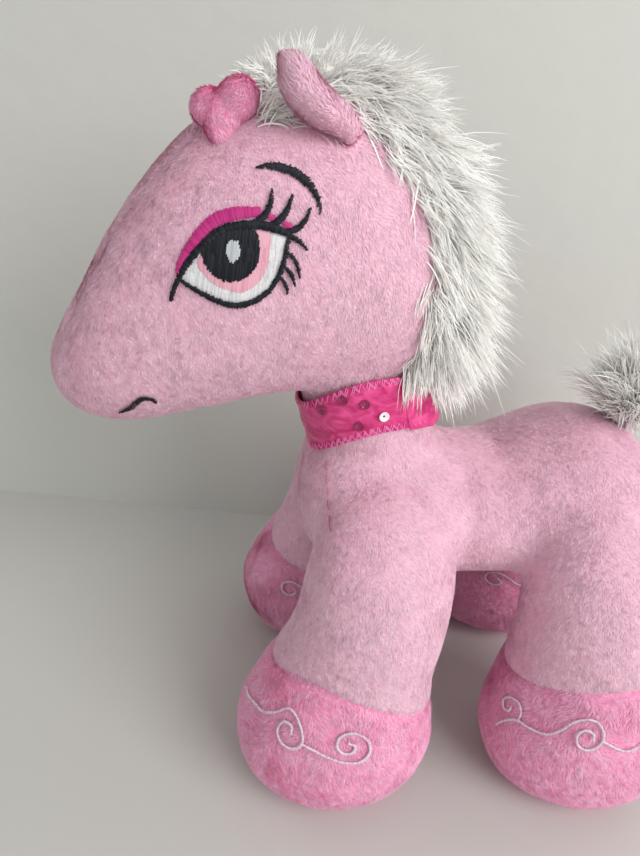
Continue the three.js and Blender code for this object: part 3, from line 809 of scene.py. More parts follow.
def make_heart():
    """A puffed heart from a few overlapping cushions."""
    facing = unit(HEART_FACING)
    up = unit(np.array([0, 0, 1.0]) - facing * facing[2])
    frame_axes = np.array([np.cross(up, facing), up, facing])
    parts = []
    for right, high, *radii in HEART_CUSHIONS:
        verts, faces = ellipsoid((right, high, 0), radii)
        parts.append((verts @ frame_axes + HEART_CENTRE, faces))
    form = soft_form("heart_cushion", parts, HEART_VOXEL, 12, HOT_SKIN_PAINTED_SHADE)
    pile = grow_pile("heart_pile", form, HOT_PILE_TONE_AND_SHEEN, comb_along(-up), 81, per_mm2=7, length=1.4, width=0.45,
                     lie=0.34, swirl=0.6)
    declare(form["object"], "heart", "hot_pink_velour", "heart_velour", "heart_stuffing")
    declare(pile, "heart", "hot_pink_velour")


# -------- mane and tail

MANE_LOCKS = 950
MANE_EDGE_LOCKS = 560
TAIL_LOCKS = 800
RUMP_END = 124  # locks rooted in front of this y stay above the rump
# [y, z, outward y, outward z, rise, half width]
MANE = [
    [-40, 241, -0.5, 0.87, 7, 5], [-30, 244, -0.25, 0.97, 12, 9], [-12, 245.5, 0.05, 1, 17, 13],
    [4, 238, 0.6, 0.8, 19, 15], [16, 225, 0.85, 0.5, 20, 16], [23, 208, 0.97, 0.24, 22, 16.5],
    [26.5, 190, 1, 0, 23.5, 16.5], [26, 172, 0.97, -0.2, 23, 15], [25, 162, 0.92, -0.35, 17, 12],
]
# [y, z, radius]
TAIL = [
    [109, 138, 7], [111, 147, 10], [116, 155, 12], [126, 158, 13], [136, 151, 13], [142, 137, 12],
    [145, 120, 10.5], [146.5, 105, 7], [146.5, 96, 3],
]
MANE_STEPS = 60
TAIL_STEPS = 60
# share of a strand's width at each step from root to tip
STRAND_TAPER = np.array([0.8, 1.0, 1.0, 0.9, 0.75, 0.5, 0.12])
STRAND_WIDTH = 0.42
STRAND_STRAY = 0.36  # of a lock's length
LOCK_SPREAD = 1.35
LOCK_DROOP = 0.3  # of its length


def lock_paths(roots, directions, lengths, droop, curl, rng):
    """Curves for many locks: they leave along their direction, then sag and curl to one side."""
    t = np.linspace(0, 1, len(STRAND_TAPER))[None, :, None]
    sag = np.array([0, 0, -1.0]) * (droop * lengths)[:, None, None]
    bend = unit(np.cross(directions, rng.standard_normal(directions.shape)))[:, None]
    bend = bend * (curl * lengths)[:, None, None]
    return roots[:, None] + directions[:, None] * lengths[:, None, None] * t + sag * t**2 + bend * t**2


def grow_locks(name, lock_roots, lock_dirs, lock_lengths, out, per_lock, seed):
    """Clumped long pile: each lock's strands gather towards its tip and lie flat against `out`."""
    rng = np.random.default_rng(seed)
    locks = len(lock_roots)
    centre = lock_paths(lock_roots, lock_dirs, lock_lengths, LOCK_DROOP * (0.7 + 0.6 * rng.random(locks)),
                        0.16 * rng.standard_normal(locks), rng)
    count = locks * per_lock
    lock = np.repeat(np.arange(locks), per_lock)
    t = np.linspace(0, 1, len(STRAND_TAPER))[None, :, None]
    start = rng.standard_normal((count, 3)) * LOCK_SPREAD
    stray = unit(rng.standard_normal((count, 3)))
    stray *= (STRAND_STRAY * lock_lengths[lock] * rng.random(count) ** 2)[:, None]
    wave = rng.standard_normal((count, 3))[:, None] * 0.45
    wave = wave * np.sin(t * math.pi * 2 + rng.random((count, 1, 1)) * 6)
    paths = centre[lock] + start[:, None] * (1 - 0.72 * t) + stray[:, None] * t**1.6 + wave * t
    reach = (0.72 + 0.33 * rng.random(count))[:, None, None]
    paths = paths[:, :1] + (paths - paths[:, :1]) * reach
    paths[..., 2] = np.maximum(paths[..., 2], 0.5)
    along = unit(np.gradient(paths, axis=1))
    side = unit(np.cross(along, unit(out[lock] + 0.45 * rng.standard_normal((count, 3)))[:, None]))
    widths = STRAND_WIDTH * (0.7 + 0.6 * rng.random((count, 1))) * STRAND_TAPER
    shade = np.clip((rng.random(count) * 1.6 + 0.9 * rng.random(locks)[lock]).astype(int), 0, 2)
    return strand_mesh(name, paths, widths, side, WHITE_PILE, shade)


def fur_backing(kind, body, core, bumps, seed):
    """The stuffed strip under the strands."""
    form = soft_form(f"{kind}_backing", [core], FUR_VOXEL, 5, WHITE_SKIN, bumps, seed)
    declare(form["object"], body, "white_fur", f"{kind}_fur")


def mane_frame(at):
    """For shares of the mane's length: its middle, the ways out and along, its rise and its half width."""
    rows = smooth_rows(MANE, 200)
    picked = np.clip((np.asarray(at) * 199).astype(int), 0, 199)
    along = unit(on_middle(np.gradient(rows[:, :2], axis=0)[picked]))
    row = rows[picked]
    return on_middle(row[:, :2]), unit(on_middle(row[:, 2:4])), along, row[:, 4], row[:, 5]


def make_mane(head):
    """Locks all over the strip, and shorter ones that hide its edges on both sides of the head."""
    rng = np.random.default_rng(11)
    rows = smooth_rows(MANE, MANE_STEPS)
    out = unit(on_middle(rows[:, 2:4]))
    centres = on_middle(rows[:, :2]) + out * (rows[:, 4:5] * 0.18 - 2)
    core = loft(centres, out, np.ones((MANE_STEPS, 1)) * LEFT, rows[:, 4] * 0.28 + 2, rows[:, 5] * 0.72, 24)
    fur_backing("mane", "head", core, 1.2, 8)

    count = MANE_LOCKS
    at = np.sort(rng.random(count) ** 0.94)
    place, out, along, rise, half = mane_frame(at)
    across = np.clip(rng.uniform(-1.15, 1.15, count), -1, 1)
    edge = np.abs(across) ** 3
    roots = place + LEFT * (across * half * 0.92)[:, None]
    roots += out * (rise * 0.1 - 5.5 * edge)[:, None]
    roots += along * rng.uniform(-1.5, 1.5, count)[:, None]
    lie = 0.3 + 0.35 * rng.random(count) + 0.3 * value_noise(place, 12, 4)
    lean = np.where(at < 0.12, -0.5, 1.0)
    directions = unit(out * (1 - 0.95 * edge)[:, None]
                      + LEFT * (across * (0.6 + 0.4 * rng.random(count)))[:, None]
                      + along * (lie * lean)[:, None])
    lengths = rise * (0.78 + 0.34 * rng.random(count)) * (1 - 0.4 * edge)
    lengths *= 1 + 0.16 * value_noise(place, 9, 6)
    facing = unit(0.5 * out + LEFT * (np.sign(across) * (0.5 + 0.7 * np.abs(across)))[:, None])

    surface = Surface(head)
    for _ in range(MANE_EDGE_LOCKS):
        place, out, along, rise, half = mane_frame(rng.random(1) * 0.96)
        side = rng.choice([-1.0, 1.0])
        spot = place[0] - out[0] * rng.uniform(-4, 8.5)
        root, normal = surface.hit((side * 120, spot[1], spot[2]), (-side, 0, 0))
        if root is None or abs(root[0]) < 8:
            continue
        sweep = 0.42 * normal - out[0] * rng.uniform(-0.25, 0.6) + along[0] * rng.uniform(0.3, 0.9)
        roots = np.vstack([roots, root - normal])
        directions = np.vstack([directions, unit(sweep)])
        lengths = np.append(lengths, rng.uniform(8, 14))
        facing = np.vstack([facing, normal])
    fur = grow_locks("mane_strands", roots, directions, lengths, facing, per_lock=19, seed=12)
    declare(fur, "head", "white_fur")


def make_tail():
    """Locks that stand over the rump and then fall behind it."""
    rng = np.random.default_rng(31)
    rows = smooth_rows(TAIL, TAIL_STEPS)
    centres = on_middle(rows[:, :2])
    along = unit(np.gradient(centres, axis=0))
    e1 = np.cross(np.ones((TAIL_STEPS, 1)) * LEFT, along)
    core = loft(centres, e1, np.cross(along, e1), rows[:, 2] * 0.62, rows[:, 2] * 0.6, 24)
    fur_backing("tail", "tail", core, 1.0, 9)

    count = TAIL_LOCKS
    at = rng.random(count) ** 1.3 * 0.86
    step = (at * (TAIL_STEPS - 1)).astype(int)
    turn = rng.uniform(0, 2 * math.pi, count)
    radial = np.cos(turn)[:, None] * e1[step] + np.sin(turn)[:, None] * LEFT
    roots = centres[step] + radial * (rows[step, 2] * 0.5)[:, None]
    directions = unit(along[step] * (0.8 + 0.4 * rng.random(count))[:, None]
                      + radial * (0.5 + 0.5 * rng.random(count))[:, None]
                      + np.array([0, -0.7, 0.2]) * np.clip(0.5 - at, 0, 1)[:, None])
    over_rump = roots[:, 1] < RUMP_END
    directions[over_rump, 2] = np.maximum(directions[over_rump, 2], 0.4)
    directions = unit(directions)
    lengths = (19 + 11 * rng.random(count)) * (1.05 - 0.4 * at)
    facing = unit(radial + 1.2 * LEFT * np.sign(radial[:, :1]))
    fur = grow_locks("tail_strands", roots, directions, lengths, facing, per_lock=18, seed=32)
    declare(fur, "tail", "white_fur")


# -------- embroidery

class Surface:
    """Finds places on a skin given in toy millimetres."""

    def __init__(self, skin):
        tris = triangles_of(skin["faces"])
        self.tree = BVHTree.FromPolygons([tuple(v) for v in skin["verts"]], tris.tolist())
        self.normals = skin["normals"]
        self.tris = tris
        self.verts = skin["verts"]
        a, b, c = (self.verts[tris[:, i]] for i in range(3))
        self.face_normals = np.cross(b - a, c - a)

    def hit(self, start, direction):
        """The first place a ray meets, with its smooth normal, or None twice if it meets no outer face."""
        place, _, index, _ = self.tree.ray_cast(Vector(start), Vector(direction))
        if place is None or np.dot(self.face_normals[index], direction) > 0:
            return None, None
        corners = self.tris[index]
        distance = np.linalg.norm(self.verts[corners] - np.array(place), axis=1) + 1e-6
        smooth = (self.normals[corners] / distance[:, None]).sum(0)
        return np.array(place), smooth / np.linalg.norm(smooth)

    def side_point(self, side):
        """Places (y, z) as seen from the toy's side."""
        return lambda y, z: self.hit((side * 120, y, z), (-side, 0, 0))

    def round_leg(self, which, side):
        """Places (degrees from straight out, back positive; z) round a hoof."""
        foot_x, foot_y = FOOT[which]
        centre = np.array([side * foot_x, foot_y, 0.0])

        def place(degrees, z):
            a = math.radians(degrees)
            out = np.array([side * math.cos(a) * 31, math.sin(a) * 37, 0])
            return self.hit(centre + [0, 0, z] + out * 2.4, -out / np.linalg.norm(out))

        return place


class Stitches:
    """Collects threads as small ridged strips, one mesh per colour set."""

    def __init__(self):
        self.verts, self.shade = [], []

    def thread(self, points, normals, width, base, crown, colour):
        """One thread laid over surface points; it rises to `crown` in the middle."""
        n = len(points)
        t = np.linspace(0, 1, n)
        height = base + crown * np.sin(math.pi * t) ** 0.6
        along = unit(np.gradient(points, axis=0))
        across = unit(np.cross(normals, along))
        middle = points + normals * (height + width * 0.45)[:, None]
        low = points + normals * height[:, None]
        self.verts.append(np.stack([low - across * width / 2, middle, low + across * width / 2], 1))
        self.shade.append(colour)

    def finish(self, name, *threads):
        """Every colour is a pair of tones, a lighter and a darker one as painted sheen and shade of the
        threads, and about one thread in three takes the darker one.
        """
        verts, corners, shade, base = [], [], [], 0
        materials = [tone for pair in threads for tone in pair]
        darker = np.random.default_rng(len(self.verts)).random(len(self.verts)) < 0.34
        for strip, colour in zip(self.verts, np.array(self.shade) * 2 + darker):
            n = len(strip)
            verts.append(strip.reshape(-1, 3))
            row = base + np.arange(n - 1)[:, None] * 3 + np.arange(2)[None]
            quad = np.stack([row, row + 1, row + 4, row + 3], -1).reshape(-1, 4)
            corners.append(quad)
            shade.append(np.full(len(quad), colour))
            base += n * 3
        corners = np.vstack(corners).ravel()
        return quick_mesh(name, np.vstack(verts), corners, 4, materials, np.concatenate(shade))


def lay(place, start, end, steps):
    """Surface points and normals between two places, or None where the line leaves the surface."""
    out = [place(*(np.array(start) + (np.array(end) - start) * t)) for t in np.linspace(0, 1, steps)]
    if any(point is None for point, _ in out):
        return None
    return np.array([p for p, _ in out]), np.array([n for _, n in out])


def satin_stroke(stitches, place, stroke, colour, rng, base, pitch=0.32, crown=0.35, ragged=0.12, slant=0.0):
    """Satin stitch along a curve: threads across it, each a little longer or shorter than the last."""
    path, widths = np.asarray(stroke[0], float), stroke[1]
    length = np.linalg.norm(np.diff(path, axis=0), axis=1).sum()
    fine = smooth_rows(np.column_stack([path, widths]), max(int(length / pitch), 4))
    tangent = unit(np.gradient(fine[:, :2], axis=0))
    across = np.column_stack([-tangent[:, 1], tangent[:, 0]])
    across = unit(across + tangent * slant)
    for row, normal in zip(fine, across):
        a = row[:2] + normal * (row[2] / 2 + ragged * rng.standard_normal())
        b = row[:2] - normal * (row[2] / 2 + ragged * rng.standard_normal())
        line = lay(place, a, b, 4)
        if line:
            stitches.thread(*line, pitch * 1.25, base, crown, colour)


LONGEST_STITCH = 4.5


def inside_spans(outline, x):
    """Where an upright line at x runs inside a closed outline."""
    a, b = outline, np.roll(outline, -1, axis=0)
    crossing = (a[:, 0] - x) * (b[:, 0] - x) < 0
    a, b = a[crossing], b[crossing]
    z = np.sort(a[:, 1] + (b[:, 1] - a[:, 1]) * (x - a[:, 0]) / (b[:, 0] - a[:, 0]))
    return [(z[i], z[i + 1]) for i in range(0, len(z) - 1, 2)]


def satin_fill(stitches, place, outline, colour, rng, base, turn, pitch=0.36, crown=0.12, ragged=0.15):
    """Fills a closed outline with side-by-side threads, split where they would be too long."""
    spin = np.array([[math.cos(turn), -math.sin(turn)], [math.sin(turn), math.cos(turn)]])
    turned = closed_curve(outline) @ spin.T
    for x in np.arange(turned[:, 0].min() + pitch / 2, turned[:, 0].max(), pitch):
        for low, high in inside_spans(turned, x):
            low += ragged * rng.standard_normal()
            high += ragged * rng.standard_normal()
            parts = max(1, round((high - low) / LONGEST_STITCH))
            marks = np.linspace(low, high, parts + 1)
            marks[1:-1] += rng.uniform(-0.8, 0.8, parts - 1)
            for i in range(parts):
                ends = np.array([[x, marks[i]], [x, marks[i + 1]]]) @ spin
                line = lay(place, ends[0], ends[1], 5)
                if line:
                    stitches.thread(*line, pitch * 1.3, base, crown, colour)


def closed_curve(outline, per_span=6):
    outline = np.asarray(outline, float)
    ring = np.vstack([outline[-2:], outline, outline[:2]])
    curve = smooth_rows(ring, (len(ring) - 1) * per_span + 1)
    return curve[2 * per_span:(2 + len(outline)) * per_span]


# places as (y, z) on the side of the head
UPPER_LID = [[-57.4, 189.5], [-56.7, 191.8], [-54.8, 196.2], [-52.2, 200.5], [-49.2, 204], [-45, 208.2],
             [-40.2, 210.3], [-35.7, 211], [-31.2, 210.8], [-26, 209.2]]
LOWER_LID = [[-55, 195.5], [-52.2, 194.1], [-48, 192.1], [-43.5, 190.4], [-39.8, 189.9], [-35.5, 190.9],
             [-31.5, 193.6], [-28.6, 197.8], [-27, 202.5], [-26, 208.4]]
IRIS = [[-50.2, 200.3], [-47.8, 197], [-45.4, 195.2], [-42, 193.9], [-38.6, 193.4], [-35, 195],
        [-32.3, 198.6], [-31, 203], [-31, 209.4], [-36, 210.2], [-42, 208.8], [-46.5, 205.6]]
PUPIL = [[-48.7, 204], [-48.2, 200.6], [-46, 197.8], [-42.8, 196.4], [-39, 196.6], [-35.8, 198.7],
         [-33.8, 202], [-33.6, 205.6], [-34.6, 209.6], [-38.5, 210.2], [-43, 208.8], [-46.4, 206.4]]
GLINT = [[-42.2, 204.1], [-41.6, 206.3], [-40.3, 206.9], [-39, 205.8], [-38.7, 203.8], [-39.4, 202],
         [-40.9, 201.4], [-41.9, 202.4]]
UPPER_LID_WIDTHS = [1.0, 1.2, 1.5, 1.7, 1.8, 1.9, 1.9, 2.1, 2.3, 1.8]
LOWER_LID_WIDTHS = [0.8, 1.2, 1.5, 1.6, 1.7, 1.6, 1.5, 1.4, 1.3, 1.1]
# the lid's colour, and two dabs of it between the lashes, each with the widths along it
SHADOW = ([[-55.6, 197], [-53.8, 201.1], [-50, 206.8], [-45.5, 211.1], [-40.2, 213.3], [-33.5, 214.3]],
          [1.4, 2.4, 2.9, 3.2, 3.2, 2.2])
SHADOW_DABS = [
    ([[-31.5, 213.5], [-29.6, 212.4], [-28.8, 211.4]], [1.5, 2.4, 1.2]),
    ([[-27.5, 212], [-26, 211.2], [-25, 210.6]], [1.2, 2.0, 1.0]),
]
UPPER_LASHES = [
    ([[-36.5, 210.8], [-33, 212.9], [-31.2, 215.6], [-30.6, 219.6]], [1.2, 1.7, 1.5, 0.7]),
    ([[-31.8, 210.8], [-28.6, 212.5], [-26.6, 215], [-25.4, 218.6]], [1.2, 1.7, 1.5, 0.7]),
    ([[-27.5, 209.6], [-24, 210.6], [-22, 212.6], [-20.4, 215.8]], [1.2, 1.6, 1.3, 0.6]),
    ([[-26, 208.8], [-24.2, 208.2], [-22.6, 207.1], [-21, 205.6]], [1.0, 1.3, 1.1, 0.6]),
]
LOWER_LASHES = [
    ([[-26.8, 205], [-24.6, 203.4], [-23.2, 201], [-22.6, 198.2]], [0.8, 1.2, 1.1, 0.6]),
    ([[-27.2, 201.6], [-25.5, 199.8], [-24.4, 198], [-23.8, 196]], [0.8, 1.2, 1.1, 0.6]),
    ([[-28.2, 198.6], [-26.8, 197], [-26, 195.4], [-25.7, 193.8]], [0.8, 1.1, 1.0, 0.6]),
]
BROW = ([[-34.8, 224.4], [-32.4, 225], [-30, 225.1], [-27.6, 224.8], [-25.5, 224.2], [-23.4, 223.1],
         [-21.4, 221.7], [-19.7, 219.9], [-18.5, 217.8], [-17.7, 214.6]],
        [0.6, 1.4, 2.0, 2.3, 2.4, 2.3, 2.1, 1.8, 1.4, 0.7])
MOUTH = ([[-77.3, 148.3], [-75, 149.7], [-72.8, 151.4], [-70.7, 154], [-69, 155.4], [-67.2, 155.7],
          [-65.8, 155.2], [-65, 153.7]],
         [0.7, 1.5, 1.8, 1.9, 1.8, 1.7, 1.5, 0.8])


def make_face(surface, word, side):
    """One side's eye, brow and mouth; what lies on top is stitched on a higher base."""
    rng = np.random.default_rng(41)
    place = surface.side_point(side)
    eye = Stitches()
    white = np.vstack([UPPER_LID[1:], LOWER_LID[::-1]])
    satin_fill(eye, place, white, 0, rng, base=0.15, turn=0.12)
    satin_fill(eye, place, IRIS, 1, rng, base=0.35, turn=0.1)
    satin_fill(eye, place, PUPIL, 2, rng, base=0.75, turn=0.1)
    satin_fill(eye, place, GLINT, 3, rng, base=1.0, turn=0.1, ragged=0.2)
    patch = eye.finish(f"eye_patch_{word}_threads", WHITE_THREAD, ROSE_THREAD, BLACK_THREAD, GREY_THREAD)
    line = Stitches()
    satin_stroke(line, place, SHADOW, 1, rng, base=0.45, ragged=0.1)
    for dab in SHADOW_DABS:
        satin_stroke(line, place, dab, 1, rng, base=0.45)
    satin_stroke(line, place, (UPPER_LID, UPPER_LID_WIDTHS), 0, rng, base=0.95)
    satin_stroke(line, place, (LOWER_LID, LOWER_LID_WIDTHS), 0, rng, base=0.85)
    for lash in UPPER_LASHES + LOWER_LASHES:
        satin_stroke(line, place, lash, 0, rng, base=0.9, pitch=0.26)
    outline = line.finish(f"eye_outline_{word}_threads", BLACK_THREAD, LID_THREAD)
    brow = Stitches()
    satin_stroke(brow, place, BROW, 0, rng, base=0.5, ragged=0.2, slant=0.4)
    brow = brow.finish(f"brow_{word}_threads", BLACK_THREAD)
    mouth = Stitches()
    satin_stroke(mouth, place, MOUTH, 0, rng, base=0.7, slant=0.3)
    mouth = mouth.finish(f"mouth_{word}_threads", BLACK_THREAD)
    for piece, node, slot in ((patch, "eye_patch_", "white_thread"),
                              (outline, "eye_outline_", "black_thread"),
                              (brow, "brow_stitching_", "black_thread"),
                              (mouth, "mouth_stitching_", "black_thread")):
        declare(piece, "head", slot, node + word)


# swirls on the hooves, as (degrees round from straight out, z); the inner one faces the other leg
INNER_SWIRL = [
    [-216, 40], [-218, 43.4], [-212, 45], [-204, 43.6], [-197, 41], [-189, 38.6], [-180, 38], [-171, 39.6],
    [-163, 43], [-155, 44.4], [-148, 42.4], [-148, 38.8], [-154, 37.4], [-159, 39.6], [-156, 41.6],
]
REAR_RAISE = 4
FRONT_SWIRL = [
    [[-92, 42], [-84, 42.8], [-72, 44.6], [-62, 45.6], [-52, 49], [-44, 52.8], [-36, 52.4], [-29, 48.8],
     [-27, 44.6], [-32, 41.8], [-40, 42], [-45, 45], [-43, 48.4], [-37, 48.8], [-35, 46.4]],
    [[-27, 44.6], [-20, 43.8], [-11, 42], [-1, 40.6], [8, 40.6], [13.5, 43.8], [12.5, 48.4], [5, 51.2],
     [-3, 50.2], [-6, 47], [-3, 44.2], [3, 44], [5, 46.4], [1, 47.6]],
    INNER_SWIRL,
]
REAR_SWIRL = [
    [[-76, 34], [-72, 38.4], [-65, 42.4], [-55, 43.2], [-45, 44.8], [-38, 49], [-33, 53.4], [-26, 56.2],
     [-19, 55.8], [-14, 52], [-14, 47.6], [-20, 44.6], [-26, 45.4], [-28.5, 49], [-25, 51.8], [-20, 51],
     [-19, 48.6]],
    [[-64, 42.6], [-64.5, 46.4], [-69, 49], [-76, 47.8], [-80, 44.6], [-77, 42], [-72.5, 43], [-72, 45.4]],
    [[-14, 48.8], [-9, 47.6], [-3, 46.2], [5, 45.3], [15, 47.2], [22, 50.6], [28, 51], [32, 48], [30, 44.8],
     [25, 44.6], [23.5, 47]],
    [[degrees, z + REAR_RAISE] for degrees, z in INNER_SWIRL],
]
DEGREE_LENGTH = 0.58  # millimetres round a hoof to one degree, near enough for the stitches' shape


def make_swirls(skins):
    """The swirls round each hoof, mirrored on the toy's right."""
    rng = np.random.default_rng(51)
    for which, paths in (("front", FRONT_SWIRL), ("rear", REAR_SWIRL)):
        for word, side in SIDES.items():
            surface = Surface(skins[f"{which}_{word}_hoof"])
            place = surface.round_leg(which, side)

            def spot(along, z, place=place):
                return place(along / DEGREE_LENGTH, z)

            threads = Stitches()
            for path in paths:
                points = np.array(path) * [DEGREE_LENGTH, 1.0]
                widths = np.full(len(points), 0.95)
                widths[[0, -1]] = 0.7
                satin_stroke(threads, spot, (points, widths), 0, rng, base=1.15, ragged=0.06, slant=0.5)
            leg = f"{which}_{word}_leg"
            piece = threads.finish(f"{leg}_swirl_threads", SILVER_THREAD)
            declare(piece, leg, "silver_thread", leg + "_swirl_stitching")


SEAM_STITCH = 2.1
SEAM_PITCH = 3.1
CHEST_SEAM = [[-8, 127], [-7.8, 122], [-7.4, 117], [-7, 111]]


def running_seam(name, place, path):
    """A line of small sunken stitches along a seam of the torso."""
    rng = np.random.default_rng(71)
    threads = Stitches()
    fine = smooth_rows(np.array(path, float), 400)
    length = np.concatenate([[0], np.cumsum(np.linalg.norm(np.diff(fine, axis=0), axis=1))])
    for start in np.arange(0, length[-1] - SEAM_STITCH, SEAM_PITCH):
        end = start + SEAM_STITCH
        ends = [np.array([np.interp(at, length, fine[:, k]) for k in (0, 1)]) for at in (start, end)]
        line = lay(place, ends[0], ends[1] + 0.1 * rng.standard_normal(2), 5)
        if line:
            threads.thread(*line, 0.55, 0.5, 0.4, 0)
    declare(threads.finish(name, SEAM_THREAD), "torso", "light_pink_velour")


def make_seams(torso):
    """The chest gusset is sewn to the side panels a little way round from the front."""
    surface = Surface(torso)
    for word, side in SIDES.items():
        running_seam(f"chest_seam_{word}_threads", surface.side_point(side), CHEST_SEAM)


# -------- collar

def neck_point(turn, height, radius):
    """A place on the collar: turn is radians from the front towards the toy's left."""
    rise = height + RIBBON_SADDLE * np.sin(turn) ** 2
    out = np.cos(turn)[..., None] * NECK_FRONT + np.sin(turn)[..., None] * LEFT
    return NECK_BASE + rise[..., None] * NECK_AXIS + radius[..., None] * out


def ribbon_radius(turn, share):
    """Taut at both edges, slightly full in the middle, with soft pulls running round the neck."""
    place = np.stack([np.cos(turn) * 24, np.sin(turn) * 24, share * 60], -1).reshape(-1, 3)
    pulls = value_noise(place, 11, 21).reshape(turn.shape)
    fine = value_noise(place * [1, 1, 2.2], 4, 22).reshape(turn.shape)
    return NECK_RADIUS + 1.15 + 0.5 * np.sin(share * math.pi) + 0.5 * pulls + 0.26 * fine


def strip(name, grid):
    """A thin ribbon over a grid of points."""
    rows, columns = grid.shape[:2]
    index = np.arange(rows * columns).reshape(rows, columns)
    faces = np.stack([index[:-1, :-1], index[:-1, 1:], index[1:, 1:], index[1:, :-1]], -1).reshape(-1, 4)
    obj = new_object(name, to_row(grid.reshape(-1, 3)), [tuple(f) for f in faces])
    obj.data.materials.append(RIBBON)
    solidify = obj.modifiers.new("thickness", "SOLIDIFY")
    solidify.thickness = RIBBON_THICKNESS * MM
    solidify.offset = 0
    return obj


def zigzag(stitches, turns, height, depth, lift, rng):
    """Overlock edging: slanting threads to and fro along a ribbon edge."""
    low, high = height - depth / 2, height + depth / 2
    for i in range(len(turns) - 1):
        ends = (low, high) if i % 2 else (high, low)
        t = np.linspace(0, 1, 4)
        turn = turns[i] + (turns[i + 1] - turns[i]) * t
        along = ends[0] + (ends[1] - ends[0]) * t + 0.12 * rng.standard_normal()
        share = np.clip(along / RIBBON_WIDTH, 0, 1)
        points = neck_point(turn, along, ribbon_radius(turn, share) + lift)
        axis_part = ((points - NECK_BASE) @ NECK_AXIS)[:, None] * NECK_AXIS
        normals = unit(points - NECK_BASE - axis_part)
        stitches.thread(points, normals, 0.34, 0.05, 0.18, 0)


END_TURNS = (2.05, 2.95)  # radians from the front, where the folded end lies
PLEAT_TURN = 2.55
EDGING_INSET = 1.3


def make_collar(head):
    """The ribbon round the neck, its folded end behind the toy's left ear, and the overlocked edges."""
    rng = np.random.default_rng(61)
    turn, share = np.meshgrid(np.linspace(0, 2 * math.pi, 181), np.linspace(0, 1, 21), indexing="ij")
    grid = neck_point(turn, share * RIBBON_WIDTH, ribbon_radius(turn, share))
    band = strip("collar_ribbon_cloth", grid)
    declare(band, "neck", "pink_ribbon", "collar_ribbon")

    turn, share = np.meshgrid(np.linspace(*END_TURNS, 40), np.linspace(0, 1, 21), indexing="ij")
    edge = np.clip((turn - END_TURNS[0]) / 0.25, 0, 1)
    pleat = 1.3 * np.exp(-((turn - PLEAT_TURN - 0.15 * (share - 0.5)) / 0.09) ** 2) * (1.1 - share)
    radius = ribbon_radius(turn, share) + 0.5 + 0.35 * edge + pleat + 0.4 * np.sin(share * 9 + turn * 7)
    grid = neck_point(turn, share * (RIBBON_WIDTH + 0.6) - 0.6, radius)
    end = strip("collar_end_cloth", grid)
    declare(end, "neck", "pink_ribbon", "collar_overlap_end")

    threads = Stitches()
    turns = np.arange(0, 2 * math.pi, 0.05)
    for height in (EDGING_INSET, RIBBON_WIDTH - EDGING_INSET):
        zigzag(threads, turns, height, 2.6, 0.3, rng)
        zigzag(threads, turns + 0.025, height, 2.2, 0.45, rng)
    declare(threads.finish("collar_edge_threads", RIBBON_THREAD), "neck", "pink_ribbon")


# [degrees from the front towards the toy's left, height on the ribbon]
SEQUINS = [[50, 15], [70, 16], [86, 12.5], [78, 5], [98, 6.5], [-64, 12]]
BRIGHT = 5  # the number of the one painted white, a painted reflection of the light it catches
SEQUIN_SIDES = 24
# [radius, height] round the section of a cupped disc with a hole
SEQUIN_PROFILE = [[0.42, 0.0], [0.55, -0.05], [1.05, 0.18], [1.5, 0.42], [1.72, 0.5], [1.74, 0.36],
                  [1.4, 0.18], [0.9, -0.08], [0.42, -0.12]]


def make_sequins():
    """Cupped discs with a centre hole; one is painted white, a painted reflection of the light it catches.
    """
    rings, sides = len(SEQUIN_PROFILE), SEQUIN_SIDES
    angle = np.linspace(0, 2 * math.pi, sides, endpoint=False)
    faces = []
    for k in range(rings):
        for j in range(sides):
            here, after = k * sides, (k + 1) % rings * sides
            nearby = (j + 1) % sides
            faces.append((here + j, here + nearby, after + nearby, after + j))
    for i, (degrees, height) in enumerate(SEQUINS, start=1):
        turn = np.array([math.radians(degrees)])
        share = np.array([height / RIBBON_WIDTH])
        centre = neck_point(turn, np.array([float(height)]), ribbon_radius(turn, share) + 0.45)[0]
        out = unit(np.cos(turn[0]) * NECK_FRONT + np.sin(turn[0]) * LEFT)
        across = unit(np.cross(NECK_AXIS, out))
        up = np.cross(out, across)
        ring = np.cos(angle)[:, None] * across + np.sin(angle)[:, None] * up
        verts = np.vstack([centre + ring * radius + out * depth for radius, depth in SEQUIN_PROFILE])
        disc = new_object(f"sequin_{i}_disc", to_row(verts), faces)
        disc.data.materials.append(SEQUIN_PAINTED_REFLECTION if i == BRIGHT else SEQUIN)
        declare(disc, "neck", "sequin", f"sequin_{i}")


# -------- assembly

def hoof_comb(p):
    """Crushed pile: it runs down, but turns in whorls."""
    swirl = 2.4 * value_noise(p, 14, 91)
    return np.column_stack([np.sin(swirl), np.cos(swirl) * 0.8, -0.9 + 0.6 * value_noise(p, 11, 92)])


CLEAR_OF_GROUND = 1.2
FIRST_PILE_SEED = 100
HEAD_BLEND = (12, 26)  # two distances along the neck; the points there are worked out but not used

make_camera()
make_light()
make_floor()

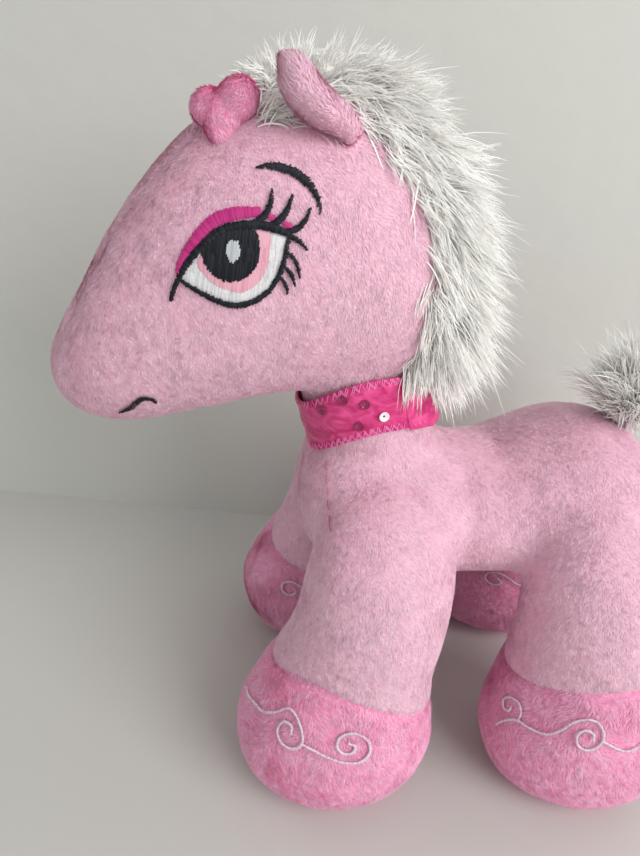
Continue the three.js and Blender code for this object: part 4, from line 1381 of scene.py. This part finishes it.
skins = split_body(*make_body_shape())
for seed, (name, skin) in enumerate(skins.items(), start=FIRST_PILE_SEED):
    piece = skin["object"]
    pile_name = f"{name}_pile"
    hoof = name.endswith(("hoof", "sole"))
    piece.data.materials.append(HOT_SKIN_PAINTED_SHADE if hoof else LIGHT_SKIN_PAINTED_SHADE)
    if name.endswith("sole"):
        pile = grow_pile(pile_name, skin, HOT_PILE_TONE_AND_SHEEN, comb_along([0.3, 0.8, -1.0]), seed, length=0.5, lie=0.2,
                         mask=lambda p: p[:, 2] > CLEAR_OF_GROUND)
    elif hoof:
        # Broader patches of painted sheen and shade, as crushed pile shows.
        pile = grow_pile(pile_name, skin, HOT_PILE_TONE_AND_SHEEN, hoof_comb, seed, length=1.9, lie=0.3, swirl=0.45,
                         patch=1.5)
    else:
        pile = grow_pile(pile_name, skin, LIGHT_PILE_TONE_AND_SHEEN, comb_along([0, 0.25, -1.0]), seed)
    if name == "torso":
        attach(piece, "torso")
        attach(pile, "torso")
        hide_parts("torso_side_left", "torso_side_right", "belly_gusset", "torso_stuffing")
        continue
    which, word, part = name.split("_")
    leg = f"{which}_{word}_leg"
    if part == "sleeve":
        normal = LEG_PLANE * [SIDES[word], 1, 1]
        for blended in (piece, pile):
            to_row(normal * LEG_PLANE_START)
            to_row(normal * LEG_PLANE_END)
            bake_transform(blended)
        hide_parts(leg + "_sleeve", leg + "_stuffing")
    else:
        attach(piece, leg)
        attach(pile, leg)
        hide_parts(leg + ("_sole" if part == "sole" else "_hoof_cuff"))

head = split_head(*make_head_shape())
head["object"].data.materials.append(LIGHT_SKIN_PAINTED_SHADE)
head_pile = grow_pile("head_pile", head, LIGHT_PILE_TONE_AND_SHEEN, comb_along([0, 0.3, -1.0]), 140)
blend_start, blend_end = (to_row(NECK_BASE + reach * NECK_AXIS) for reach in HEAD_BLEND)
for blended in (head["object"], head_pile):
    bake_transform(blended)
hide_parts("head_side_left", "head_side_right", "forehead_gusset", "head_stuffing",
            "neck_sleeve", "neck_stuffing")

head_surface = Surface(head)
for word, side in SIDES.items():
    make_ear(word, side)
    make_face(head_surface, word, side)
make_heart()
make_mane(head)
make_tail()
make_swirls(skins)
make_seams(skins["torso"])
make_collar(head["object"])
make_sequins()
